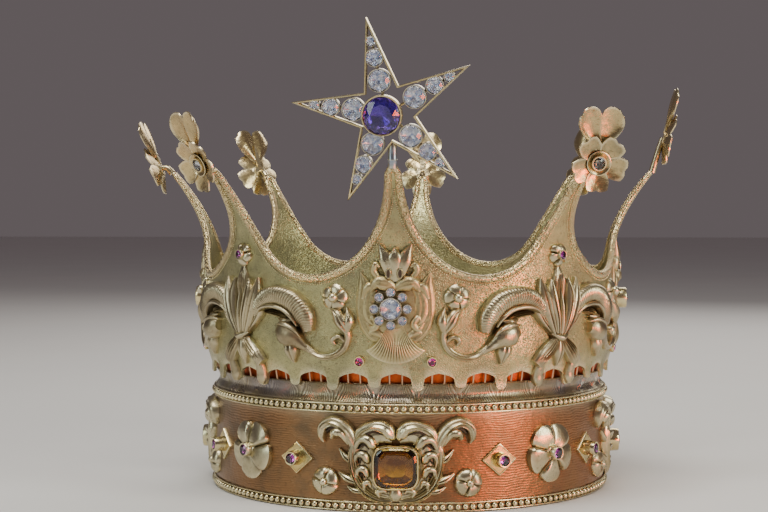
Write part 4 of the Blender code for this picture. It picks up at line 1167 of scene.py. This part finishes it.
bandCartoucheLeaves = [
    # Stem, from the foot up the side
    (bothHands, [(1.6, 5.6, 1.7, 1.8), (7, 6.4, 2.5, 2.6), (12.4, 10.2, 2.9, 3.2), (15.6, 16.6, 2.8, 3.4),
        (16.4, 23.4, 2.5, 3.4), (15.2, 29, 1.8, 2.8)],
        44, 16, {"flutes": 6, "fluteDepth": 0.35, "edge": 0.35}),
    # Body that fills the space between stem and stone
    (bothHands, [(1, 6.6, 2.4, 1.6), (7.4, 8.4, 3.8, 2), (12, 13.4, 4.4, 2.3), (13, 20.4, 4.4, 2.4),
        (11.4, 27, 4.2, 2.5), (7.2, 30.6, 3.4, 2.6), (1.2, 29.2, 2.2, 2.2)],
        44, 16, {"edge": 0.6, "flutes": 4, "fluteDepth": 0.2}),
    # Rolls that spring from it and curl in towards the stone
    (bothHands, [(16, 26.6, 1.4, 2.6), (13.4, 31.6, 2.3, 3.8), (8.4, 34, 2.5, 4.6), (3.8, 33.2, 2.9, 5.2),
        (1.7, 30, 2.3, 4.2), (1.6, 28.4, 1, 2.4)],
        34, 14, {"flutes": 3, "fluteDepth": 0.15, "edge": 0.3}),
    (bothHands, [(16.4, 23, 1.2, 2.4), (14, 28.2, 1.9, 4), (10.6, 28.8, 2.4, 5), (8.8, 26.2, 2, 4.4),
        (8.8, 24.6, 0.8, 2.2)], 28, 12, {"edge": 0.3}),
    (bothHands, [(16.4, 17.6, 1, 2.2), (14.9, 22.4, 1.7, 3.8), (12.2, 22.8, 2, 4.6), (10.9, 20.4, 1.6, 3.8),
        (10.9, 19, 0.6, 2)], 26, 12, {"edge": 0.3}),
    (bothHands, [(15.6, 11.8, 0.9, 2), (14.6, 16.6, 1.6, 3.6), (12.1, 17.2, 1.8, 4.2),
        (10.9, 14.8, 1.4, 3.4), (10.9, 13.4, 0.6, 1.8)], 26, 12, {"edge": 0.3}),
    (bothHands, [(11.8, 7.2, 0.8, 1.8), (12.2, 11.2, 1.4, 3.2), (10.4, 12, 1.4, 3.4), (9.6, 10.2, 0.8, 2.4)],
        22, 10, {"edge": 0.3}),
    (bothHands, [(6, 5.6, 0.7, 1.8), (7, 8.4, 1.3, 3), (4.8, 9.2, 1.4, 3.2), (3.4, 7.8, 0.7, 2)],
        20, 10, {"edge": 0.3}),
    # Ear: a broad ribbon that rises, curls over and hangs
    (bothHands, [(15, 23, 1.9, 2.6), (17, 28.4, 2.5, 3.6), (20.2, 33, 2.9, 4.4), (24.8, 35.2, 2.6, 4.8),
        (28.6, 33.2, 2.2, 4.4), (29.6, 29.4, 1.5, 3.2), (28.8, 27, 0.5, 1.6)],
        46, 14, {"flutes": 3, "fluteDepth": 0.18, "edge": 0.3}),
    (bothHands, [(18.6, 26.6, 0.7, 2), (20.8, 30.6, 2, 4.4), (23.6, 31.2, 2.3, 5), (25.2, 28.8, 1.2, 3)],
        24, 12, {"edge": 0.3}),
    # Small leaves that stand out of the side
    (bothHands, [(16, 19, 0.9, 2.2), (19.4, 21.4, 1.5, 2.8), (22.4, 24.8, 0.3, 1.2)], 18, 10, {"vein": 0.3}),
    (bothHands, [(14.8, 11.6, 0.9, 2.2), (19, 13.2, 1.6, 2.8), (22.6, 15.4, 0.4, 1.2)],
        18, 10, {"vein": 0.3}),
    (bothHands, [(12, 8, 0.8, 1.8), (16.2, 8.6, 1.2, 2.2), (19.2, 10.2, 0.3, 1)], 18, 10, {"vein": 0.3}),
    # Tab at the foot
    (once, [(0, 10.2, 1.9, 3), (0, 7.2, 2.5, 3.4), (0, 4.9, 1.6, 1.8)], 14, 12, {"edge": 0.5}),
]


def scrollShadows(panel):
    # Painted shadows: dark crescents under the rolls
    arcs = [
        [(20.7, 30.4, 0.1, 3.2), (24.2, 33.0, 0.6, 4.1), (27.2, 31.0, 0.1, 3.2)],
        [(12.8, 29.2, 0.1, 3.0), (8.8, 32.0, 0.6, 3.7), (4.4, 30.6, 0.1, 3.0)],
        [(14.3, 25.0, 0.1, 2.9), (11.9, 26.9, 0.5, 3.6), (10.1, 25.0, 0.1, 2.9)],
        [(14.1, 19.5, 0.1, 2.8), (12.8, 21.1, 0.45, 3.3), (11.7, 19.5, 0.1, 2.8)],
        [(13.9, 13.9, 0.1, 2.7), (12.7, 15.5, 0.45, 3.1), (11.7, 14.0, 0.1, 2.7)],
    ]
    return [leafPart(panel, arc, side, 14, 6, base=1.2, edge=0.9) for arc in arcs for side in (-1, 1)]


def cushionCollet(plane, halfS, halfZ, wall, high, power=4.0):
    # A rounded square cup with a soft lip and a sloping outside
    sections = []
    count = 40
    profile = [(1.0, -0.6), (0.95, high * 0.55), (0.7, high - 0.45), (0.35, high), (0.0, high + 0.02)]
    profile += [(-0.15, high - 0.35), (-0.6, high * 0.35)]
    rings = []
    for share, h in profile:
        rings.append((squaredOutline(halfS + wall * share, halfZ + wall * share, power, count), h))
    for k in range(count):
        section = [plane(ring[k][0], ring[k][1], h) for ring, h in rings]
        section.append(plane(0.0, 0.0, high * 0.3))
        section.append(plane(0.0, 0.0, -0.6))
        sections.append(section)
    return sectionPart(sections, closed=True)


def cushionStone(plane, halfS, halfZ, girdle, crown, depth, power=4.2):
    # A cushion-shaped step cut
    count = 20
    levels = [(0.02, girdle - depth), (0.45, girdle - depth * 0.85), (0.78, girdle - depth * 0.5)]
    levels += [(1.0, girdle - 0.15), (1.0, girdle), (0.90, girdle + crown * 0.55)]
    levels += [(0.76, girdle + crown * 0.9), (0.66, girdle + crown), (0.0, girdle + crown)]
    sections = []
    for k in range(count):
        section = []
        for share, h in levels:
            s, z = squaredOutline(halfS * share, halfZ * share, power, count)[k]
            section.append(plane(s, z, h))
        section.append(plane(0.0, 0.0, girdle - depth))
        sections.append(section)
    return sectionPart(sections, closed=True)


for quarter, side in enumerate(sides):
    panel = onBand(quarter * quarterTurn)
    plane = flatAt(panel, 0.0, bandCartouche["middle"])
    node = f"band_cartouche_{side}"
    makePiece(f"{node}_relief", leafParts(panel, bandCartoucheLeaves), reliefGold, [node])
    if side == "front":
        half, proud = bandCartouche["citrine"] / 2, bandCartouche["citrineProud"]
        cup = [cushionCollet(plane, half, half * 0.94, bandCartouche["wall"], proud)]
        cut = [cushionStone(plane, half * 0.985, half * 0.925, proud - 0.3, 1.0, 2.0)]
        lining = [cushionStone(plane, half * 0.98, half * 0.92, proud - 0.6, -1.4, 2.4)]
        makePiece("band_stone_front_foil", lining, amberFoil, sharp=0)
        cutFinish, slot = amberStone, "citrine"
    else:
        half, proud = bandCartouche["sideStone"] / 2, bandCartouche["sideProud"]
        cup = [colletPart(plane, atCentre, half, 1.2, -0.5, proud, flare=-0.6, steps=28)]
        cup.append(lathePart(plane, [(3.5, -0.4), (7.6, -0.4), (7.4, 0.9), (6.2, 1.6), (3.5, 1.4)], 28))
        cut = [stonePart(plane, atCentre, half * 0.98, proud - 0.6, 1.0, 2.0)]
        cutFinish, slot = purpleStone, "violet_stone"
    makePiece(f"band_stone_{side}_setting", cup, colletGold)
    makePiece(f"band_stone_{side}_cut", cut, cutFinish, [f"band_stone_{side}"], sharp=0)
# Painted shadows under the rolls of each band cartouche
quarterCopies("scroll_shadows_{}", scrollShadows(onBand(0.0)), paintedShade)


def lozengeParts(panel):
    # A bevelled diamond plate, on which a stone's tall cup is set
    half, thick = lozenge["half"], lozenge["thick"]
    bevel = [(1.0, -0.5), (1.0, thick * 0.55), (0.95, thick * 0.95), (0.90, thick)]
    bevel += [(0.86, thick * 0.82), (0.5, thick * 0.85)]
    sections = []
    for k in range(16):
        corner, step = divmod(k, 4)
        a0, a1 = math.tau * corner / 4, math.tau * (corner + 1) / 4
        f = step / 4
        s = math.sin(a0) * (1 - f) + math.sin(a1) * f
        z = math.cos(a0) * (1 - f) + math.cos(a1) * f
        section = []
        for share, h in bevel:
            across = s * half * lozenge["widen"] * share
            section.append(panel(across, lozenge["height"] + z * half * share, h))
        section.append(panel(0.0, lozenge["height"], thick))
        section.append(panel(0.0, lozenge["height"], -0.5))
        sections.append(section)
    return sectionPart(sections, closed=True)


for quarter, side in enumerate(sides):
    for hand, word in ((-1, "a"), (1, "b")):
        panel = onBand(quarter * quarterTurn + hand * math.radians(lozenge["degrees"]))
        plane = flatAt(panel, 0.0, lozenge["height"])
        parts = [lozengeParts(panel)]
        parts.append(colletPart(plane, atCentre, lozenge["stone"], 0.55, 0.2, lozenge["proud"] - 0.1, -0.5))
        makePiece(f"lozenge_{side}_{word}_relief", parts, colletGold, [f"lozenge_{side}_{word}"])
        cut = [stonePart(plane, atCentre, lozenge["stone"] * 0.98, lozenge["proud"] - 0.45, 0.7, 1.3)]
        makePiece(f"lozenge_{side}_{word}_stone", cut, purpleStone, sharp=0)

for quarter, corner in enumerate(corners):
    plane = flatAt(onBand((quarter + 0.5) * quarterTurn), 0.0, bandFlower["height"])
    radius, crest, size = bandFlower["radius"], bandFlower["crest"], bandFlower["stone"]
    parts = [flowerPart(plane, 5, radius, crest, 0.76, 0.22, 0.42, steps=18, rings=12, base=-1.2)]
    parts.append(flowerPart(plane, 5, radius * 0.42, crest * 0.95, 0.88, 0.2, turn=0.63, base=-0.5))
    parts.append(colletPart(plane, atCentre, size, 0.55, 0.2, bandFlower["proud"] - 0.1, -0.4))
    makePiece(f"band_flower_{corner}_relief", parts, reliefGold, [f"band_flower_{corner}"])
    cut = [stonePart(plane, atCentre, size * 0.98, bandFlower["proud"] - 0.45, 0.7, 1.3)]
    makePiece(f"band_flower_{corner}_stone", cut, purpleStone, sharp=0)
print("crown: circlet ornament made")


# Finials

finial = {
    "leans": (15, 14, 16, 20, 22, 23, 25),
    "turns": (-30, 0, 0, 0, 0, 0, 0),
    "lift": 1.2,
    "standOff": 4.8,
    "longSpire": 2,
    "longLift": 12.6,
    "flowerRadius": 11.2,
    "petalHalf": 4.7,
    "cup": 2.5,
    "sheet": 0.55,
    "heartHalf": 9.4,
    "heartFoot": 5.2,
    "heartTop": 21.9,
    "stem": 1.5,
    "stone": 2.5,
}


def petalSheet(plane, turn, tilt):
    # One thin squarish petal: narrow foot, raised edges and a fold down its middle
    reach, half, cup = finial["flowerRadius"], finial["petalHalf"], finial["cup"]
    rows = []
    for r in range(10):
        q = r / 9
        width = half * (0.34 + 0.66 * math.sin(math.pi / 2 * min(1.0, q * 1.7))) * (1 - 0.10 * q ** 6)
        row = []
        for c in range(11):
            v = 2 * c / 10 - 1
            dip = 0.07 * math.exp(-((v / 0.22) ** 2))
            out = 1.8 + (reach - 1.8) * q * (1 - 0.10 * abs(v) ** 3 * q - dip * q)
            side = width * v
            fold = 0.9 * v * v * math.sin(math.pi * min(1.0, 0.15 + q * 0.8))
            crease = 0.35 * math.exp(-((v / 0.12) ** 2)) * (1 - q)
            rise = 0.35 + cup * q ** 1.5 + fold - crease + tilt * v * q
            s = out * math.sin(turn) + side * math.cos(turn)
            z = out * math.cos(turn) - side * math.sin(turn)
            row.append(plane(s, z, rise))
        rows.append(row)
    return sheetPart(rows, finial["sheet"])


def heartSheet(plane):
    # The heart-shaped leaf: two round lobes with a cleft between, and curled edges
    rows = []
    foot, top = finial["heartFoot"], finial["heartTop"]
    for r in range(18):
        q = r / 17
        row = []
        for c in range(17):
            v = 2 * c / 16 - 1
            lobe = max(0.0, 1 - ((abs(v) - 0.5) / 0.5) ** 2) ** 0.5
            width = finial["heartHalf"] * (0.16 + 0.84 * math.sin(math.pi / 2 * min(1.0, q * 1.45)) ** 1.1)
            z = foot + (top - foot) * q * (1 - (1 - lobe) * 0.20 * q ** 4)
            side = width * v * (1 - 0.16 * q ** 5)
            swell = math.sin(math.pi * min(1.0, abs(v))) * math.sin(math.pi * min(1.0, 0.08 + 0.8 * q))
            rise = 0.2 + 1.1 * abs(v) ** 4 - 0.7 * swell + 0.35 * math.exp(-((v / 0.16) ** 2)) * (1 - q ** 3)
            row.append(plane(side, z, rise))
        rows.append(row)
    return sheetPart(rows, finial["sheet"])


def finialParts(spire):
    angle = spire * spirePitch
    outward = Vector((math.sin(angle), -math.cos(angle), 0.0))
    facing = angle + math.radians(finial["turns"][spire - 1])
    across = Vector((math.cos(facing), math.sin(facing), 0.0))
    ahead = Vector((math.sin(facing), -math.cos(facing), 0.0))
    lean = math.radians(finial["leans"][spire - 1])
    up = Vector((0.0, 0.0, math.cos(lean))) + ahead * math.sin(lean)
    tip = placeAt(angle, bodyRadius(crownForm["spireTop"]) - crownForm["wall"] / 2, crownForm["spireTop"])
    lift = finial["lift"] + (finial["longLift"] if spire == finial["longSpire"] else 0.0)
    centre = tip + Vector((0.0, 0.0, lift)) + outward * finial["standOff"]
    plane = onPlane(centre, across, up)
    parts = []
    for k in range(5):
        turn = math.tau * (k + 0.5) / 5 + 0.06 * math.sin(3.1 * k + spire)
        tilt = 0.5 * math.sin(2.3 * k + 1.7 * spire)
        parts.append(petalSheet(plane, turn, tilt))
    # Raised inner cup of the flower
    cup = [(1.4, 0.1), (3.6, 0.3), (4.6, 1.2), (4.9, 1.9), (4.6, 2.0), (3.9, 1.4), (2.4, 1.0), (1.4, 0.9)]
    parts.append(lathePart(plane, cup, 22))
    parts.append(heartSheet(plane))
    parts.append(colletPart(plane, atCentre, finial["stone"], 0.5, -0.3, 2.3, steps=20))
    # Veined neck between the flower and the heart
    neck = [(0.0, 2.0, 1.0, 0.7), (0.0, 5.5, 1.3, 0.9), (0.0, 9.5, 0.9, 0.7), (0.0, 14.0, 0.3, 0.4)]
    parts.append(leafPart(plane, neck, 1, 14, 8, base=-0.6))
    start = tip - Vector((0.0, 0.0, 1.0))
    bend = tip + (centre - tip) * 0.45 + Vector((0.0, 0.0, 0.6))
    behind = plane(0.0, 0.0, -0.4)
    path = [Vector(p) for p in smoothPath([tuple(start), tuple(bend), tuple(behind)], 9)]
    parts.append(tubePart(path, [finial["stem"] * (1.0 - 0.25 * k / 8) for k in range(9)], 10))
    return parts, plane


for spire in range(1, crownForm["spires"]):
    parts, plane = finialParts(spire)
    makePiece(f"finial_{spire}_relief", parts, petalGold, [f"finial_{spire}"])
    cut = [stonePart(plane, atCentre, finial["stone"] * 0.98, 2.0, 0.8, 1.0)]
    makePiece(f"finial_{spire}_stone", cut, greyStone, sharp=0)
print("crown: finials made")


# Star

star = {
    "radius": 36.1,
    "notch": 11.2,
    "depth": 3.4,
    "wall": 0.75,
    "height": 153.9,
    "out": 108.0,
    "shift": -2.0,
    "turn": 11.0,
    "yaw": -4.0,
    "pitch": 8.0,
    "stone": 7.2,
    "stoneSpot": (-1.6, -0.8),
    "rows": ((12.4, 4.5), (21.0, 3.5), (27.2, 2.15)),
}


def starFrame():
    yaw = Matrix.Rotation(math.radians(star["yaw"]), 3, "Z")
    turn = yaw @ Matrix.Rotation(math.radians(star["pitch"]), 3, "X")
    middle = placeAt(0.0, star["out"], star["height"]) + Vector((star["shift"], 0.0, 0.0))
    return middle, turn @ Vector((1.0, 0.0, 0.0)), turn @ Vector((0.0, 0.0, 1.0))


def starCorners(outer, inner):
    corners = []
    for k in range(10):
        a = math.tau * k / 10 - math.radians(star["turn"])
        reach = inner if k % 2 else outer
        corners.append((reach * math.sin(a), reach * math.cos(a)))
    return corners


def starParts():
    plane = onPlane(*starFrame())
    half = star["depth"] / 2
    bevel = [(0.0, -half), (0.0, half - 0.3), (0.2, half), (0.8, half), (1.0, half - 0.3), (1.0, -half)]
    step = math.tau / 10
    run = Vector((star["radius"] - star["notch"] * math.cos(step), star["notch"] * math.sin(step)))
    point = math.atan2(run.y, run.x)
    outside = starCorners(star["radius"], star["notch"])
    reach = star["radius"] - star["wall"] / math.sin(point)
    notch = star["notch"] - star["wall"] / math.sin(point + step)
    inside = starCorners(reach, notch)
    frameSections = []
    for k in range(10):
        (s0, z0), (s1, z1) = outside[k], inside[k]
        ring = []
        for share, h in bevel:
            ring.append(plane(s0 + (s1 - s0) * share, z0 + (z1 - z0) * share, h))
        frameSections.append(ring)
    parts = [sectionPart(frameSections, closed=True)]
    stones, cups, foils = [], [], []
    for arm in range(5):
        a = math.tau * arm / 5 - math.radians(star["turn"])
        for distance, radius in star["rows"]:
            spot = (distance * math.sin(a), distance * math.cos(a))
            cups.append(colletPart(plane, spot, radius - 0.32, 0.3, -half + 0.4, half, steps=22))
            foils.append(foilPart(plane, spot, radius - 0.4, half - 0.2, radius * 0.32, 14))
            stones.append(stonePart(plane, spot, radius - 0.36, half - 0.2, radius * 0.28, radius * 0.28))
        # Thin rail behind each row of stones
        rail = [plane(r * math.sin(a), r * math.cos(a), -half + 0.6) for r in (6.0, 12.0, 18.0, 24.0, 29.5)]
        parts.append(tubePart(rail, 0.5, 6))
    parts.append(colletPart(plane, star["stoneSpot"], star["stone"], 0.5, -half + 0.2, half + 0.9, steps=36))
    return parts, cups, foils, stones


starMetal, starCups, starFoils, starStones = starParts()
makePiece("star_frame", starMetal, colletGold, ["star"], sharp=30)
makePiece("star_cups", starCups, silverWire)
makePiece("star_foils", starFoils, brightFoil, sharp=0)
makePiece("star_brilliants", starStones, brilliantPaste, sharp=0)
plane = onPlane(*starFrame())
girdle = star["depth"] / 2 + 0.45
largeFoil = [foilPart(plane, star["stoneSpot"], star["stone"], girdle, 2.2, 20)]
makePiece("star_centre_foil", largeFoil, violetFoil, sharp=0)
largeStone = [stonePart(plane, star["stoneSpot"], star["stone"] * 0.985, girdle, 1.6, 1.9, table=0.6)]
makePiece("star_centre", largeStone, violetStone, ["star_stone"], sharp=0)

centre, across, up = starFrame()
# The pin runs from the front spire's tip to the star's lowest inner corner
notches = [centre + across * s + up * z for s, z in starCorners(star["radius"], star["notch"])[1::2]]
lowest = min(notches, key=lambda spot: spot.z)
spireTop = crownForm["spireTop"]
foot = placeAt(0.0, bodyRadius(spireTop) - crownForm["wall"] / 2, spireTop - 1.5)
pinPath = [foot + (lowest - foot) * q for q in (0.0, 0.15, 0.3, 0.34, 0.38, 0.7, 0.86, 0.95)]
pinRadii = [1.6, 1.65, 1.65, 1.9, 1.65, 1.6, 1.5, 1.1]
makePiece("star_pin_turned", [tubePart(pinPath, pinRadii, 16)], bluedSteel, ["star_pin"])
print("crown: star made")


# Floor, light and camera

studio = {
    "distance": 0.722,
    "height": 0.1186,
    "azimuth": 3.5,
    "aimLeft": 0.886,
    "pitch": 1.668,
    "lens": 77.25,
}


def makeFloor():
    paint = Paint("paleFloor")
    cloud = paint.noise(6.0, 3.0)
    colour = paint.blend(cloud, (0.74, 0.73, 0.72), (0.80, 0.79, 0.78))
    finish = paint.finish({"Roughness": 0.75}, {"Base Color": colour})
    mesh = bpy.data.meshes.new("floor")
    mesh.from_pydata([(-6, -6, 0), (6, -6, 0), (6, 6, 0), (-6, 6, 0)], [], [(0, 1, 2, 3)])
    mesh.materials.append(finish)
    floor = bpy.data.objects.new("floor", mesh)
    bpy.context.scene.collection.objects.link(floor)


def softbox(name, spot, aim, size, power, colour):
    light = bpy.data.lights.new(name, "AREA")
    light.shape = "RECTANGLE"
    light.size, light.size_y = size
    light.energy = power
    light.color = colour
    lamp = bpy.data.objects.new(name, light)
    lamp.location = spot
    lamp.rotation_euler = (Vector(aim) - Vector(spot)).to_track_quat("-Z", "Y").to_euler()
    bpy.context.scene.collection.objects.link(lamp)


makeFloor()
softbox("overheadSoftbox", (-0.15, -0.35, 1.1), (0, 0, 0.08), (0.7, 0.5), 10.0, (1.0, 0.97, 0.90))
softbox("leftSoftbox", (-1.0, -0.75, 0.55), (0, 0, 0.08), (0.35, 0.8), 3.2, (0.88, 1.0, 0.96))
softbox("rightSoftbox", (0.95, -0.55, 0.45), (0, 0, 0.06), (0.35, 0.6), 6.0, (0.96, 1.0, 0.86))
softbox("lowRightSoftbox", (0.70, -0.5, 0.04), (0.03, 0, 0.015), (0.5, 0.07), 2.7, (1.0, 0.16, 0.04))
softbox("backSoftbox", (0.3, 1.0, 0.7), (0, 0, 0.1), (0.9, 0.5), 5.0, (1.0, 0.95, 0.88))
world = bpy.data.worlds.new("studioWorld")
world.use_nodes = True
world.node_tree.nodes["Background"].inputs[0].default_value = (0.62, 0.52, 0.54, 1.0)
world.node_tree.nodes["Background"].inputs[1].default_value = 0.20
bpy.context.scene.world = world

lens = bpy.data.cameras.new("photoCamera")
lens.lens = studio["lens"]
lens.sensor_width = 36.0
lens.clip_start = 0.01
camera = bpy.data.objects.new("photoCamera", lens)
azimuth, away = math.radians(studio["azimuth"]), studio["distance"]
camera.location = (away * math.sin(azimuth), -away * math.cos(azimuth), studio["height"])
camera.rotation_euler = (math.radians(90 - studio["pitch"]), 0.0, azimuth + math.radians(studio["aimLeft"]))
bpy.context.scene.collection.objects.link(camera)
bpy.context.scene.camera = camera
print("crown: studio made")
